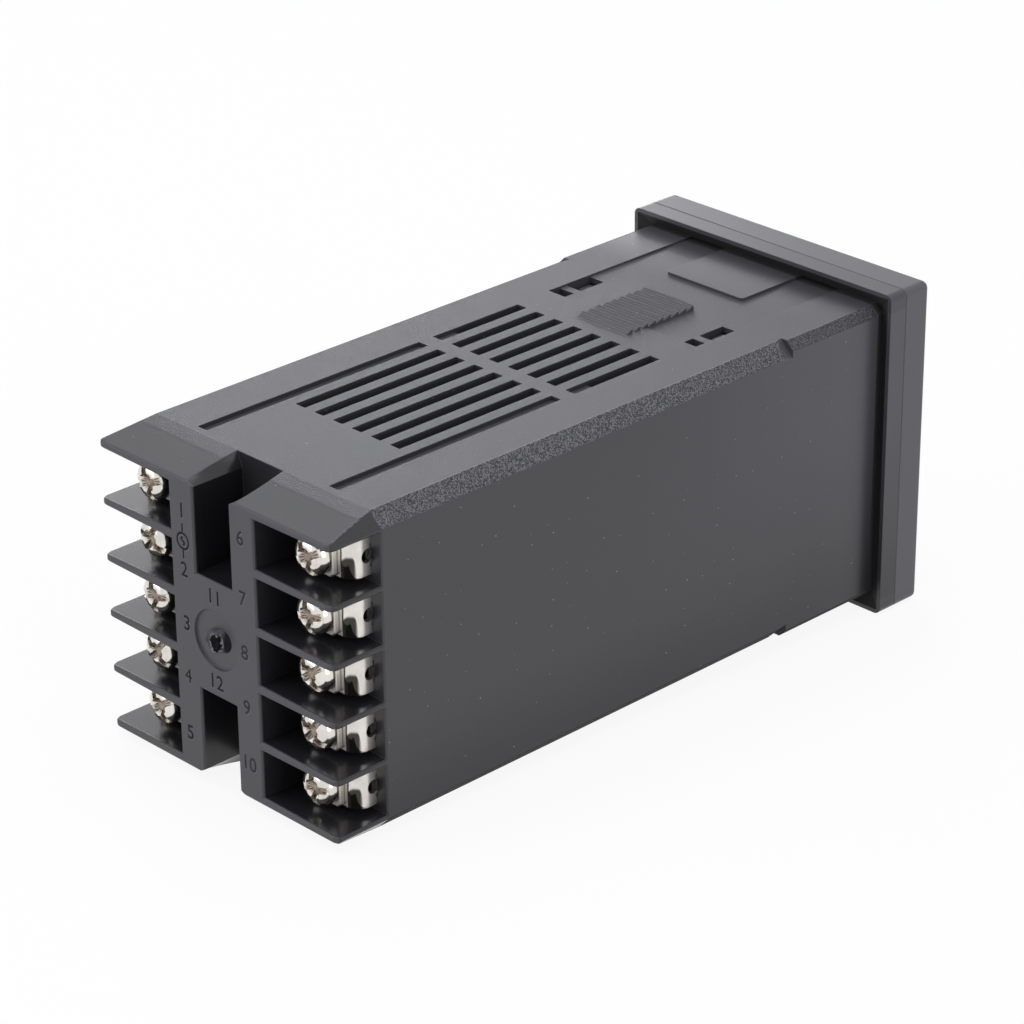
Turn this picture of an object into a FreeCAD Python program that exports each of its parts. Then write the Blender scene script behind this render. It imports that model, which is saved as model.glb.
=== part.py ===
"""A 48 mm square panel-mounted PID temperature controller.

The frame has its origin in the middle of the panel's front face, where the case's flange seats.
+Y points back through the panel to the terminals, +X to the right seen from the front, +Z up.
All sizes are in millimetres.
"""
import FreeCAD
import Part
import math
import os
from FreeCAD import Vector

# Front flange and bezel
bezel_size = 48.0
bezel_edge_radius = 1.0
bezel_face_radius = 0.7
flange_overhang = 2.0
flange_thickness = 3.15
bezel_depth = 4.75
seam_chamfer = 0.12
seat_rim_width = 0.6
seat_bevel_depth = 1.6

# Case shell
case_length = 99.5
case_wall = 1.8
rear_wall = 1.8
corner_chamfer = 1.9
inner_corner_chamfer = 0.5
front_corner_chamfer = 1.2
front_chamfer_length = 17.4
corner_notch_length = 1.4
corner_notch_depth = 0.3

# Bracket track, pad and ratchet on the top and bottom walls
track_width = 27.6
track_length = 27.4
track_depth = 0.3
pad_width = 14.2
pad_length = 11.2
pad_height = 0.4
pad_corner_radius = 0.6
ratchet_width = 9.2
ratchet_start = 18.1
ratchet_pitch = 1.48
ratchet_teeth = 9
ratchet_base_height = 0.2
ratchet_tooth_height = 0.6

# Latch windows, latch arms and their lead-in grooves
window_width = 2.7
window_front = 19.4
window_length = 4.5
tool_window_front = 25.2
tool_window_length = 2.1
latch_arm_thickness = 1.2
latch_side_clearance = 0.2
latch_nose_height = 0.7
latch_nose_length = 3.0
latch_ramp_length = 1.0
latch_groove_clearance = 0.15

# Vents
vent_pitch = 3.55
vent_width = 1.78
vent_corner_radius = 0.15
front_vent_front = 33.8
front_vent_length = 15.7
front_vent_count = 8
vent_bridge = 2.5
rear_vent_margin = 14.4
rear_vent_count = 6
blind_vent_length = 4.0
blind_depth = 0.6
long_groove_margin = 1.1

# Terminal block
block_length = 8.3
block_end_wall = 2.625
ramp_drop = 1.5
terminals_per_side = 5
column_half_width = 8.0
fin_root_thickness = 1.25
fin_tip_thickness = 0.85
fin_corner_radius = 1.2
fin_edge_chamfer = 0.2
end_wall_edge_radius = 0.4
centre_slot_width = 6.9
centre_slot_floor = 8.1
slot_flare_width = 0.9
slot_flare_depth = 2.1
dish_radius = 4.15
dish_depth = 0.3
dish_draft = 0.1
gate_radius = 1.55
gate_tip_radius = 1.4
gate_height = 0.8

# Terminal hardware
screw_inset = 7.0
thread_radius = 1.5
shank_length = 4.1
head_radius = 2.7
head_height = 1.8
head_edge_radius = 0.7
slot_width = 0.9
slot_depth = 0.75
socket_radius = 1.2
socket_tip_radius = 0.4
socket_depth = 1.3
spring_washer_radius = 2.5
spring_washer_thickness = 0.5
clamp_width = 5.2
clamp_side_clearance = 0.675
clamp_thickness = 0.8
clamp_corner = 0.5
clamp_edge_chamfer = 0.12
plate_thickness = 0.8
plate_side_clearance = 0.725
plate_seat_offset = 3.2
plate_seat_reach = 2.7
plate_leg_inset = 2.0
plate_bend_radius = 2.0
tongue_height = 3.0
tongue_length = 7.2
locating_hole_radius = 0.95
locating_hole_offset = 0.45
pedestal_inset = 0.3
pedestal_hole_depth = 2.8
thread_clearance = 0.03
clamp_bore_clearance = 0.2
washer_bore_clearance = 0.05
pedestal_hole_clearance = 0.3
tongue_slot_clearance = 0.05

# Chassis
spigot_clearance = 0.2
spigot_wall = 1.4
spigot_length = 5.15
front_wall = 2.0
board_thickness = 1.6
board_contact_clearance = 0.05
board_edge_clearance = 0.3
board_front_clearance = 0.4
board_rear_clearance = 0.5
guide_rib_thickness = 0.7
guide_rib_height = 1.3
guide_clearance = 0.1
display_board_clearance = 0.3
part_seat_clearance = 0.05

# Window and displays, their margins taken from the inside of the bezel's wall
pane_overlap = 0.9
pane_to_keys = 2.2
pane_thickness = 1.15
pane_recess = 1.25
pane_clearance = 0.1
pane_ledge = 1.4
pane_corner_radius = 1.0
display_side_margin = 2.1
display_top_margin = 1.1
display_gap = 0.9
display_height_ratio = 1.2
display_front_clearance = 0.2
status_light_count = 4
light_pipe_side_margin = 3.6
light_pipe_rise = 1.6
light_pipe_height = 1.6
light_pipe_gap = 0.6
light_pipe_lens_radius = 0.7

# Keys
key_names = ("set", "shift", "down", "up")
key_row_margin = 0.2
key_row_foot = 1.2
key_spacing = 1.6
key_height = 6.0
key_proud = 0.7
key_clearance = 0.15
key_lip = 0.6
key_lip_thickness = 0.6
key_lip_gap = 0.1
key_travel = 0.4
key_stop_clearance = 0.2
key_corner_radius = 0.8
key_face_radius = 0.4
plunger_radius = 1.7
plunger_length = 1.2
plunger_tip_clearance = 0.3
switch_size = 6.0
switch_height = 2.0
switch_bore_clearance = 0.08

# Components on the two long boards
transformer_length = 18.0
transformer_height = 17.0
transformer_depth = 13.0
transformer_front = 42.0
core_thickness = 5.0
bobbin_inset = 1.5
mains_capacitor_radius = 5.0
mains_capacitor_length = 16.0
mains_capacitor_front = 20.0
mains_capacitor_level = 9.0
output_capacitor_radius = 4.0
output_capacitor_length = 12.0
output_capacitor_front = 22.0
output_capacitor_level = -8.0
capacitor_groove_place = 1.8
capacitor_groove_width = 0.8
capacitor_groove_depth = 0.4
relay_length = 18.4
relay_height = 10.2
relay_depth = 15.3
relay_margin = 9.0
relay_spacing = 14.2
relay_edge_radius = 0.5
chip_size = 10.0
chip_thickness = 1.4
chip_front = 20.0
header_height = 20.0
header_depth = 2.5
header_length = 9.0

# Places of the case, worked out from the sizes above
half_bezel = bezel_size / 2
half_case = half_bezel - flange_overhang
inner_half = half_case - case_wall
case_front = -flange_thickness
block_front = case_length - block_length
cavity_rear = block_front - rear_wall
track_face = half_case - track_depth
window_outer = track_width / 2
window_inner = window_outer - window_width
front_vent_rear = front_vent_front + front_vent_length
rear_vent_front = front_vent_rear + vent_bridge
rear_vent_rear = block_front - rear_vent_margin
long_groove_rear = block_front - long_groove_margin
terminal_pitch = 2 * (half_case - block_end_wall + fin_root_thickness / 2) / terminals_per_side
bay_height = terminal_pitch - fin_root_thickness

# Places of the terminal hardware
screw_offset = half_case - screw_inset
clamp_height = bay_height - 2 * clamp_side_clearance
plate_height = bay_height - 2 * plate_side_clearance
plate_rear = block_front + plate_seat_offset
plate_front = plate_rear - plate_thickness
plate_outer_face = half_case - plate_leg_inset
plate_inner_face = plate_outer_face - plate_thickness
clamp_rear = plate_rear + clamp_thickness
head_seat = clamp_rear + spring_washer_thickness

# Places of the bezel, the keys and the displays
bezel_front = case_front - bezel_depth
cavity_front = bezel_front + front_wall
spigot_half = inner_half - spigot_clearance
spigot_inner = spigot_half - spigot_wall
spigot_rear = case_front + spigot_length
key_pitch = 2 * (spigot_inner - key_row_margin) / len(key_names)
key_width = key_pitch - key_spacing
key_centre = -spigot_inner + key_row_foot + key_height / 2
key_lip_front = cavity_front + key_lip_gap
key_lip_rear = key_lip_front + key_lip_thickness
plunger_rear = key_lip_rear + plunger_length
switch_front = key_lip_rear + key_travel + key_stop_clearance
display_board_front = switch_front + switch_height
display_board_rear = display_board_front + board_thickness
pane_half = spigot_inner + pane_overlap
pane_bottom = key_centre + key_height / 2 + pane_to_keys
sight_half = pane_half - pane_ledge
light_pipe_bottom = pane_bottom + light_pipe_rise
lower_display_bottom = light_pipe_bottom + light_pipe_height + light_pipe_gap
displays_top = spigot_inner - display_top_margin
lower_display_height = (displays_top - lower_display_bottom - display_gap) / (1 + display_height_ratio)
upper_display_bottom = lower_display_bottom + lower_display_height + display_gap

# Places of the long boards
board_outer = plate_inner_face - board_contact_clearance
board_inner = board_outer - board_thickness
board_half_height = inner_half - board_edge_clearance
board_front = spigot_rear + board_front_clearance
board_rear = cavity_rear - board_rear_clearance
part_seat = board_inner - part_seat_clearance
relay_front = cavity_rear - relay_margin - relay_length

# How far cutters pass a surface, and how near two places count as one
overshoot = 1.0
tolerance = 1e-6
seam_tolerance = 1e-4


def box(x0, x1, y0, y1, z0, z1):
    """A box between two corners, given in any order."""
    low = Vector(min(x0, x1), min(y0, y1), min(z0, z1))
    return Part.makeBox(abs(x1 - x0), abs(y1 - y0), abs(z1 - z0), low)


def face_xz(points, y):
    """A flat face at y from (x, z) points."""
    corners = [Vector(x, y, z) for x, z in points]
    return Part.Face(Part.makePolygon(corners + corners[:1]))


def prism_y(points, y0, y1):
    """(x, z) points pushed along Y."""
    return face_xz(points, y0).extrude(Vector(0, y1 - y0, 0))


def loft_y(front_points, y0, rear_points, y1):
    """A straight-sided solid between two (x, z) outlines."""
    wires = []
    for points, y in ((front_points, y0), (rear_points, y1)):
        corners = [Vector(x, y, z) for x, z in points]
        wires.append(Part.makePolygon(corners + corners[:1]))
    return Part.makeLoft(wires, True, True)


def octagon(half, chamfer):
    """A square outline with its corners cut at 45 degrees."""
    near = half - chamfer
    return [(half, -near), (half, near), (near, half), (-near, half),
            (-half, near), (-half, -near), (-near, -half), (near, -half)]


def square(half):
    return [(half, -half), (half, half), (-half, half), (-half, -half)]


def rounded_plate(x0, x1, z0, z1, y0, y1, radius):
    """A plate with its four edges along Y rounded."""
    return round_edges(box(x0, x1, y0, y1, z0, z1), Vector(0, 1, 0), radius)


def rounded_slot(x, y0, y1, z0, z1):
    """An upright cutter for a vent along Y with rounded corners."""
    slot = box(x - vent_width / 2, x + vent_width / 2, y0, y1, z0, z1)
    return round_edges(slot, Vector(0, 0, 1), vent_corner_radius)


def round_edges(shape, direction, radius):
    """Rounds every straight edge that runs along the direction."""
    straight = [edge for edge in shape.Edges if edge.Curve.TypeId == "Part::GeomLine"]
    along = [edge for edge in straight
             if edge.tangentAt(edge.FirstParameter).cross(direction).Length < tolerance]
    return shape.makeFillet(radius, along)


def edges_at_y(shape, y):
    """The edges that lie wholly in the plane at y."""
    return [edge for edge in shape.Edges
            if abs(edge.BoundBox.YMin - y) < tolerance and abs(edge.BoundBox.YMax - y) < tolerance]


def cylinder_y(radius, x, z, y0, y1):
    return Part.makeCylinder(radius, y1 - y0, Vector(x, y0, z), Vector(0, 1, 0))


def mirrored(shape, normal):
    return shape.mirror(Vector(0, 0, 0), normal)


def top_and_bottom(shape):
    """The shape and its image in the plane z = 0."""
    return [shape, mirrored(shape, Vector(0, 0, 1))]


def four_ways(shape):
    """The shape in all four quarters round the Y axis."""
    return [image for half in top_and_bottom(shape) for image in (half, mirrored(half, Vector(1, 0, 0)))]


def terminal_heights():
    """The height of each terminal's middle, from the top down."""
    return [((terminals_per_side - 1) / 2 - i) * terminal_pitch for i in range(terminals_per_side)]


def terminal_places():
    """Side and height of each terminal: the first five on +X, the rest on -X."""
    return [(side, z) for side in (1, -1) for z in terminal_heights()]


def vent_places(count):
    return [(i - (count - 1) / 2) * vent_pitch for i in range(count)]


# Case


def case_outside():
    """The body's outer form, with its long chamfers, corner notches and ramped tail."""
    notch_rear = front_chamfer_length + corner_notch_length
    body = prism_y(octagon(half_case, front_corner_chamfer), case_front, front_chamfer_length)
    notch = loft_y(octagon(half_case, corner_chamfer + corner_notch_depth), front_chamfer_length,
                   octagon(half_case, corner_chamfer), notch_rear)
    tail = prism_y(octagon(half_case, corner_chamfer), notch_rear, case_length)
    body = body.fuse([notch, tail]).removeSplitter()
    plan = box(-half_case, half_case, case_front, case_length, -half_case, half_case)
    rear_corners = [edge for edge in plan.Edges
                    if edge.BoundBox.YMin > case_length - tolerance and edge.BoundBox.ZLength > half_case]
    body = body.common(plan.makeFillet(fin_corner_radius, rear_corners))
    ramp = Part.Face(Part.makePolygon([
        Vector(-bezel_size, block_front, half_case),
        Vector(-bezel_size, case_length, half_case - ramp_drop),
        Vector(-bezel_size, case_length + overshoot, half_case - ramp_drop),
        Vector(-bezel_size, case_length + overshoot, half_case + overshoot),
        Vector(-bezel_size, block_front, half_case + overshoot),
        Vector(-bezel_size, block_front, half_case)])).extrude(Vector(2 * bezel_size, 0, 0))
    return body.cut(top_and_bottom(ramp))


def case_flange():
    """The square flange, its rear face sunk in four mitred slopes so that only its rim seats."""
    flange = rounded_plate(-half_bezel, half_bezel, -half_bezel, half_bezel, case_front, 0,
                           bezel_edge_radius)
    flange = flange.makeChamfer(seam_chamfer, edges_at_y(flange, case_front))
    sunk = loft_y(square(half_bezel - seat_rim_width), 0, square(half_case - front_corner_chamfer),
                  -seat_bevel_depth)
    lip = prism_y(square(half_bezel - seat_rim_width), 0, overshoot)
    return flange.cut([sunk, lip])


def ratchet_block():
    """Nine saw teeth for the mounting bracket's pawl, each steep towards the panel."""
    foot = track_face - overshoot / 2
    valley = track_face + ratchet_base_height
    points = [(ratchet_start, foot)]
    for i in range(ratchet_teeth):
        y = ratchet_start + i * ratchet_pitch
        points += [(y, valley + ratchet_tooth_height), (y + ratchet_pitch, valley)]
    points.append((ratchet_start + ratchet_teeth * ratchet_pitch, foot))
    corners = [Vector(-ratchet_width / 2, y, z) for y, z in points]
    return Part.Face(Part.makePolygon(corners + corners[:1])).extrude(Vector(ratchet_width, 0, 0))


def track_pad():
    """The raised pad beside the flange in the bracket's track."""
    pad = box(-pad_width / 2, pad_width / 2, -seat_bevel_depth, pad_length, track_face - overshoot / 2,
              track_face + pad_height)
    corners = [edge for edge in pad.Edges
               if edge.BoundBox.YMin > pad_length - tolerance and edge.BoundBox.ZLength > pad_height]
    return pad.makeFillet(pad_corner_radius, corners)


def vent_cutters():
    """Through slots, and the shallow blind ones beside them, of the top wall."""
    through = (inner_half - overshoot, half_case + overshoot)
    blind = (half_case - blind_depth, half_case + overshoot)
    cutters = []
    for x in vent_places(rear_vent_count):
        cutters.append(rounded_slot(x, rear_vent_front, rear_vent_rear, *through))
    places = vent_places(front_vent_count)
    for x in places[1:-1]:
        cutters.append(rounded_slot(x, front_vent_front, front_vent_rear, *through))
    for x in (places[0], places[-1]):
        cutters.append(rounded_slot(x, front_vent_front, front_vent_rear - blind_vent_length, *through))
        cutters.append(rounded_slot(x, front_vent_front, front_vent_rear, *blind))
        cutters.append(rounded_slot(x, rear_vent_front, long_groove_rear, *blind))
    return cutters


def latch_cutters():
    """The latch and tool windows of one quarter, with the latch's lead-in groove."""
    latch_window = box(window_inner, window_outer, window_front, window_front + window_length,
                       inner_half - overshoot, half_case + overshoot)
    tool_window = box(window_inner, window_outer, tool_window_front, tool_window_front + tool_window_length,
                      inner_half - overshoot, half_case + overshoot)
    groove_roof = inner_half - spigot_clearance + latch_nose_height + latch_groove_clearance
    groove = box(window_inner, window_outer, case_front - overshoot, window_front + overshoot,
                 inner_half - overshoot, groove_roof)
    return [latch_window, tool_window, groove]


def bay_cutter(side, z):
    """One terminal bay, wider towards its mouth so that the fins taper."""
    reach = half_case - column_half_width
    root = bay_height / 2
    growth = (fin_root_thickness - fin_tip_thickness) / 2 / reach
    mouth = root + growth * (reach + overshoot)
    root_x = side * column_half_width
    mouth_x = side * (half_case + overshoot)
    points = [(root_x, z - root), (mouth_x, z - mouth), (mouth_x, z + mouth), (root_x, z + root)]
    return prism_y(points, block_front, case_length + overshoot)


def centre_slot():
    """The open slot above the rear face's middle, its mouth flared to the ramp."""
    half = centre_slot_width / 2
    flare_foot = half_case - slot_flare_depth

    def outline(surface):
        rise = surface - flare_foot
        flare = slot_flare_width * (rise + overshoot) / rise
        return [(-half, centre_slot_floor), (half, centre_slot_floor), (half, flare_foot),
                (half + flare, surface + overshoot), (-half - flare, surface + overshoot),
                (-half, flare_foot)]

    fall = ramp_drop / block_length
    return loft_y(outline(half_case), block_front, outline(half_case - ramp_drop - fall * overshoot),
                  case_length + overshoot)


def on_block_outside(point):
    """Whether a point lies on the terminal block's sides, rear face or rounded rear corners."""
    if point.y < block_front - tolerance:
        return False
    centre = half_case - fin_corner_radius
    corner_x = abs(point.x) - centre
    corner_y = point.y - (case_length - fin_corner_radius)
    if corner_x > 0 and corner_y > 0:
        return abs(math.hypot(corner_x, corner_y) - fin_corner_radius) < seam_tolerance
    return abs(abs(point.x) - half_case) < seam_tolerance or abs(point.y - case_length) < seam_tolerance


def block_edges(solid, low, high):
    """The edges on the block's outside whose middles lie between two heights, above or below z = 0."""
    found = []
    for edge in solid.Edges:
        first, last = edge.ParameterRange
        points = [edge.valueAt(first + (last - first) * share) for share in (0.0, 0.25, 0.5, 0.75, 1.0)]
        if low <= abs(points[2].z) <= high and all(on_block_outside(point) for point in points):
            found.append(edge)
    return found


def gate_mark():
    """The shallow dish and the stub of the moulding gate in its middle."""
    floor = case_length - dish_depth
    middle = Vector(0, floor, 0)
    dish = Part.makeCone(dish_radius - dish_draft, dish_radius, dish_depth, middle, Vector(0, 1, 0))
    stub = Part.makeCone(gate_radius, gate_tip_radius, gate_height, middle, Vector(0, 1, 0))
    return dish, stub


def pedestal(side, z):
    """The block under a terminal plate, with a blind hole for the screw's tip."""
    half_width = clamp_width / 2 - pedestal_inset
    half_height = clamp_height / 2 - pedestal_inset
    block = box(side * (screw_offset - half_width), side * (screw_offset + half_width),
                block_front - rear_wall / 2, plate_front, z - half_height, z + half_height)
    hole = cylinder_y(thread_radius + pedestal_hole_clearance, side * screw_offset, z,
                      plate_front - pedestal_hole_depth, plate_front + overshoot)
    return block, hole


def tongue_slot(side, z):
    """The slot in the rear wall that a terminal's contact tongue passes through."""
    half = tongue_height / 2 + tongue_slot_clearance
    return box(side * (plate_inner_face - tongue_slot_clearance), side * inner_half,
               cavity_rear - overshoot, block_front + overshoot, z - half, z + half)


def guide_rib():
    """The rib that keeps a long board against its contacts, on one quarter's wall."""
    outer = board_inner - guide_clearance
    return box(outer - guide_rib_thickness, outer, spigot_rear + guide_clearance, cavity_rear + overshoot / 2,
               inner_half - guide_rib_height, inner_half + overshoot / 2)


def make_case():
    """The whole case: flange, shell, vents, latch windows and terminal block in one moulding."""
    outside = case_outside()
    level = [edge for edge in edges_at_y(outside, case_length) if edge.BoundBox.ZLength < tolerance]
    outside = outside.makeFillet(end_wall_edge_radius, level)
    bays = [bay_cutter(side, z) for side, z in terminal_places()]
    block = outside.cut(bays + top_and_bottom(centre_slot()))
    mouths = block_edges(block, 0, half_case - block_end_wall + fin_edge_chamfer)
    block = block.makeChamfer(fin_edge_chamfer, mouths)
    solid = block.fuse(case_flange())
    track = box(-track_width / 2, track_width / 2, -seat_bevel_depth, track_length, track_face, half_case)
    solid = solid.cut(top_and_bottom(track))
    solid = solid.fuse(top_and_bottom(ratchet_block()) + top_and_bottom(track_pad()))
    cavity = prism_y(octagon(inner_half, inner_corner_chamfer), case_front - overshoot, cavity_rear)
    solid = solid.cut([cavity])
    solid = solid.cut([image for cutter in vent_cutters() for image in top_and_bottom(cutter)])
    solid = solid.cut([image for cutter in latch_cutters() for image in four_ways(cutter)])
    pedestals = [pedestal(side, z) for side, z in terminal_places()]
    dish, stub = gate_mark()
    solid = solid.fuse([block for block, hole in pedestals] + four_ways(guide_rib()))
    solid = solid.cut([hole for block, hole in pedestals] + [dish])
    solid = solid.cut([tongue_slot(side, z) for side, z in terminal_places()])
    return solid.fuse(stub).removeSplitter()


# Terminal hardware


def make_terminal_plate(side, z):
    """A bent plate: the tapped seat faces back, the leg turns forward and ends in a contact tongue."""
    outer_bend = plate_bend_radius
    inner_bend = plate_bend_radius - plate_thickness
    bend_x = plate_outer_face - outer_bend
    bend_y = plate_rear - outer_bend
    diagonal = math.sqrt(0.5)

    def point(x, y):
        return Vector(side * x, y, z - plate_height / 2)

    def arc(radius, start, end):
        middle = point(bend_x + radius * diagonal, bend_y + radius * diagonal)
        return Part.Arc(start, middle, end).toShape()

    plate_inner_end = screw_offset - plate_seat_reach
    seat_rear = point(plate_inner_end, plate_rear)
    bend_rear = point(bend_x, plate_rear)
    leg_top = point(plate_outer_face, bend_y)
    leg_foot = point(plate_outer_face, block_front)
    foot_inner = point(plate_inner_face, block_front)
    leg_inner = point(plate_inner_face, bend_y)
    bend_front = point(bend_x, plate_front)
    seat_front = point(plate_inner_end, plate_front)
    outline = Part.Wire([
        Part.makeLine(seat_rear, bend_rear), arc(outer_bend, bend_rear, leg_top),
        Part.makeLine(leg_top, leg_foot),
        Part.makeLine(leg_foot, foot_inner), Part.makeLine(foot_inner, leg_inner),
        arc(inner_bend, leg_inner, bend_front), Part.makeLine(bend_front, seat_front),
        Part.makeLine(seat_front, seat_rear)])
    strip = Part.Face(outline).extrude(Vector(0, 0, plate_height))
    tongue = box(side * plate_inner_face, side * plate_outer_face, block_front - tongue_length, block_front,
                 z - tongue_height / 2, z + tongue_height / 2)
    tapped_hole = cylinder_y(thread_radius + thread_clearance, side * screw_offset, z,
                             plate_front - overshoot, plate_rear + overshoot)
    hole_start = Vector(side * (plate_inner_face - plate_thickness), block_front + locating_hole_offset, z)
    locating_hole = Part.makeCylinder(locating_hole_radius, 2 * plate_thickness + overshoot, hole_start,
                                      Vector(side, 0, 0))
    return strip.fuse(tongue).cut([tapped_hole, locating_hole]).removeSplitter()


def make_terminal_clamp(side, z):
    """The square washer that the screw draws down on the wire."""
    x = side * screw_offset
    clamp = box(x - clamp_width / 2, x + clamp_width / 2, plate_rear, clamp_rear,
                z - clamp_height / 2, z + clamp_height / 2)
    upright = [edge for edge in clamp.Edges if abs(edge.BoundBox.YLength - clamp_thickness) < tolerance]
    clamp = clamp.makeChamfer(clamp_corner, upright)
    rims = edges_at_y(clamp, plate_rear) + edges_at_y(clamp, clamp_rear)
    clamp = clamp.makeChamfer(clamp_edge_chamfer, rims)
    return clamp.cut(cylinder_y(thread_radius + clamp_bore_clearance, x, z, plate_rear - overshoot,
                                clamp_rear + overshoot))


def make_terminal_screw(side, z):
    """A pan-head screw with two slots across its head, a conical socket and a captive spring washer."""
    x = side * screw_offset
    head = cylinder_y(head_radius, x, z, head_seat, head_seat + head_height)
    head = head.makeFillet(head_edge_radius, edges_at_y(head, head_seat + head_height))
    shank = cylinder_y(thread_radius, x, z, head_seat - shank_length, head_seat)
    reach = head_radius + overshoot
    top = head_seat + head_height
    floor = top - slot_depth
    slots = [box(x - reach, x + reach, floor, top + overshoot, z - slot_width / 2, z + slot_width / 2),
             box(x - slot_width / 2, x + slot_width / 2, floor, top + overshoot, z - reach, z + reach)]
    socket = Part.makeCone(socket_tip_radius, socket_radius, socket_depth, Vector(x, top - socket_depth, z),
                           Vector(0, 1, 0))
    screw = head.fuse(shank).cut(slots + [socket]).removeSplitter()
    washer = cylinder_y(spring_washer_radius, x, z, clamp_rear, head_seat)
    bore = cylinder_y(thread_radius + washer_bore_clearance, x, z, clamp_rear - overshoot,
                      head_seat + overshoot)
    return Part.makeCompound([screw, washer.cut(bore)])


# Front bezel, pane and keys


def key_places():
    """Each key's name and the x of its middle, from left to right."""
    first = -key_pitch * (len(key_names) - 1) / 2
    return [(name, first + i * key_pitch) for i, name in enumerate(key_names)]


def key_prism(x, grow, y0, y1):
    """A key's rounded outline, grown by a margin, pushed from y0 to y1."""
    half_width = key_width / 2 + grow
    half_height = key_height / 2 + grow
    return rounded_plate(x - half_width, x + half_width, key_centre - half_height, key_centre + half_height,
                         y0, y1, key_corner_radius + grow)


def latch_arm():
    """One quarter's latch: an arm from the spigot with a ramped nose that stands in the case's window."""
    x0 = window_inner + latch_side_clearance
    x1 = window_outer - latch_side_clearance
    top = spigot_half
    bottom = top - latch_arm_thickness
    nose_front = window_front + latch_side_clearance
    nose_rear = nose_front + latch_nose_length
    points = [(spigot_rear - overshoot, bottom), (nose_rear, bottom), (nose_rear, top),
              (nose_rear - latch_ramp_length, top + latch_nose_height),
              (nose_front, top + latch_nose_height),
              (nose_front, top), (spigot_rear - overshoot, top)]
    corners = [Vector(x0, y, z) for y, z in points]
    return Part.Face(Part.makePolygon(corners + corners[:1])).extrude(Vector(x1 - x0, 0, 0))


def make_front_bezel():
    """The front frame, with its rear spigot and the four latch arms that hold the chassis in the case."""
    bezel = rounded_plate(-half_bezel, half_bezel, -half_bezel, half_bezel, bezel_front, case_front,
                          bezel_edge_radius)
    bezel = bezel.makeChamfer(seam_chamfer, edges_at_y(bezel, case_front))
    bezel = bezel.makeFillet(bezel_face_radius, edges_at_y(bezel, bezel_front))
    spigot = prism_y(octagon(spigot_half, inner_corner_chamfer), case_front, spigot_rear)
    hollow = prism_y(square(spigot_inner), cavity_front, spigot_rear + overshoot)
    recess = rounded_plate(-pane_half, pane_half, pane_bottom, pane_half, bezel_front - overshoot,
                           bezel_front + pane_recess, pane_corner_radius)
    sight = box(-sight_half, sight_half, bezel_front - overshoot, cavity_front + overshoot,
                pane_bottom + pane_ledge, sight_half)
    key_holes = [key_prism(x, key_clearance, bezel_front - overshoot, cavity_front + overshoot)
                 for name, x in key_places()]
    bezel = bezel.fuse(spigot).cut([hollow, recess, sight] + key_holes)
    return bezel.fuse(four_ways(latch_arm())).removeSplitter()


def make_display_pane():
    """The dark pane over both displays."""
    half = pane_half - pane_clearance
    rear = bezel_front + pane_recess
    return rounded_plate(-half, half, pane_bottom + pane_clearance, half, rear - pane_thickness, rear,
                         pane_corner_radius)


def make_key(x):
    """A key cap with the lip that keeps it behind the front wall."""
    cap = key_prism(x, 0, bezel_front - key_proud, key_lip_front)
    cap = cap.makeFillet(key_face_radius, edges_at_y(cap, bezel_front - key_proud))
    return cap.fuse(key_prism(x, key_lip, key_lip_front, key_lip_rear)).removeSplitter()


def make_plunger(x):
    """The switch's round plunger, which the key's rear face rests on."""
    return cylinder_y(plunger_radius, x, key_centre, key_lip_rear, plunger_rear)


def make_key_switch(x):
    """A small square push switch on the display board, bored for its plunger's travel."""
    half = switch_size / 2
    body = box(x - half, x + half, switch_front, display_board_front, key_centre - half, key_centre + half)
    bore = cylinder_y(plunger_radius + switch_bore_clearance, x, key_centre, switch_front - overshoot,
                      plunger_rear + key_travel + plunger_tip_clearance)
    return body.cut(bore)


# Boards and what they carry


def make_display_board():
    half = spigot_inner - display_board_clearance
    return box(-half, half, display_board_front, display_board_rear, -half, half)


def make_display(bottom, height):
    """A four-digit display block between the pane and the display board."""
    half = spigot_inner - display_side_margin
    front = cavity_front + display_front_clearance
    return box(-half, half, front, display_board_front, bottom, bottom + height)


def make_light_pipe():
    """A clear bar with a round lens in front of each status lamp."""
    half = spigot_inner - light_pipe_side_margin
    front = cavity_front + display_front_clearance
    top = light_pipe_bottom + light_pipe_height
    bar = box(-half, half, front, display_board_front, light_pipe_bottom, top)
    middle = light_pipe_bottom + light_pipe_height / 2
    step = 2 * half / status_light_count
    lenses = [cylinder_y(light_pipe_lens_radius, -half + (i + 0.5) * step, middle, cavity_front, front)
              for i in range(status_light_count)]
    return bar.fuse(lenses).removeSplitter()


def make_long_board(side):
    """A board that stands on edge along the case, its rear edge at the terminals' tongues."""
    return box(side * board_inner, side * board_outer, board_front, board_rear,
               -board_half_height, board_half_height)


def make_header(side):
    """The pin header that joins a long board to the display board."""
    return box(side * (part_seat - header_depth), side * part_seat, display_board_rear,
               board_front + header_length, -header_height / 2, header_height / 2)


def make_transformer():
    """The supply's transformer: a core of two E shapes round a wound bobbin."""
    half = transformer_height / 2
    rear = transformer_front + transformer_length
    middle = part_seat - transformer_depth / 2
    core = box(middle - core_thickness / 2, middle + core_thickness / 2, transformer_front, rear,
               -half, half)
    bobbin = box(part_seat - transformer_depth, part_seat, transformer_front + bobbin_inset,
                 rear - bobbin_inset, -half + bobbin_inset, half - bobbin_inset)
    return core.fuse(bobbin).removeSplitter()


def make_capacitor(radius, length, front, level):
    """A can capacitor lying along the power board, with the groove rolled round its mouth."""
    x = part_seat - radius
    can = cylinder_y(radius, x, level, front, front + length)
    groove_front = front + capacitor_groove_place
    groove_rear = groove_front + capacitor_groove_width
    groove = cylinder_y(radius + overshoot, x, level, groove_front, groove_rear)
    core = cylinder_y(radius - capacitor_groove_depth, x, level, groove_front - overshoot,
                      groove_rear + overshoot)
    return can.cut(groove.cut(core))


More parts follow.
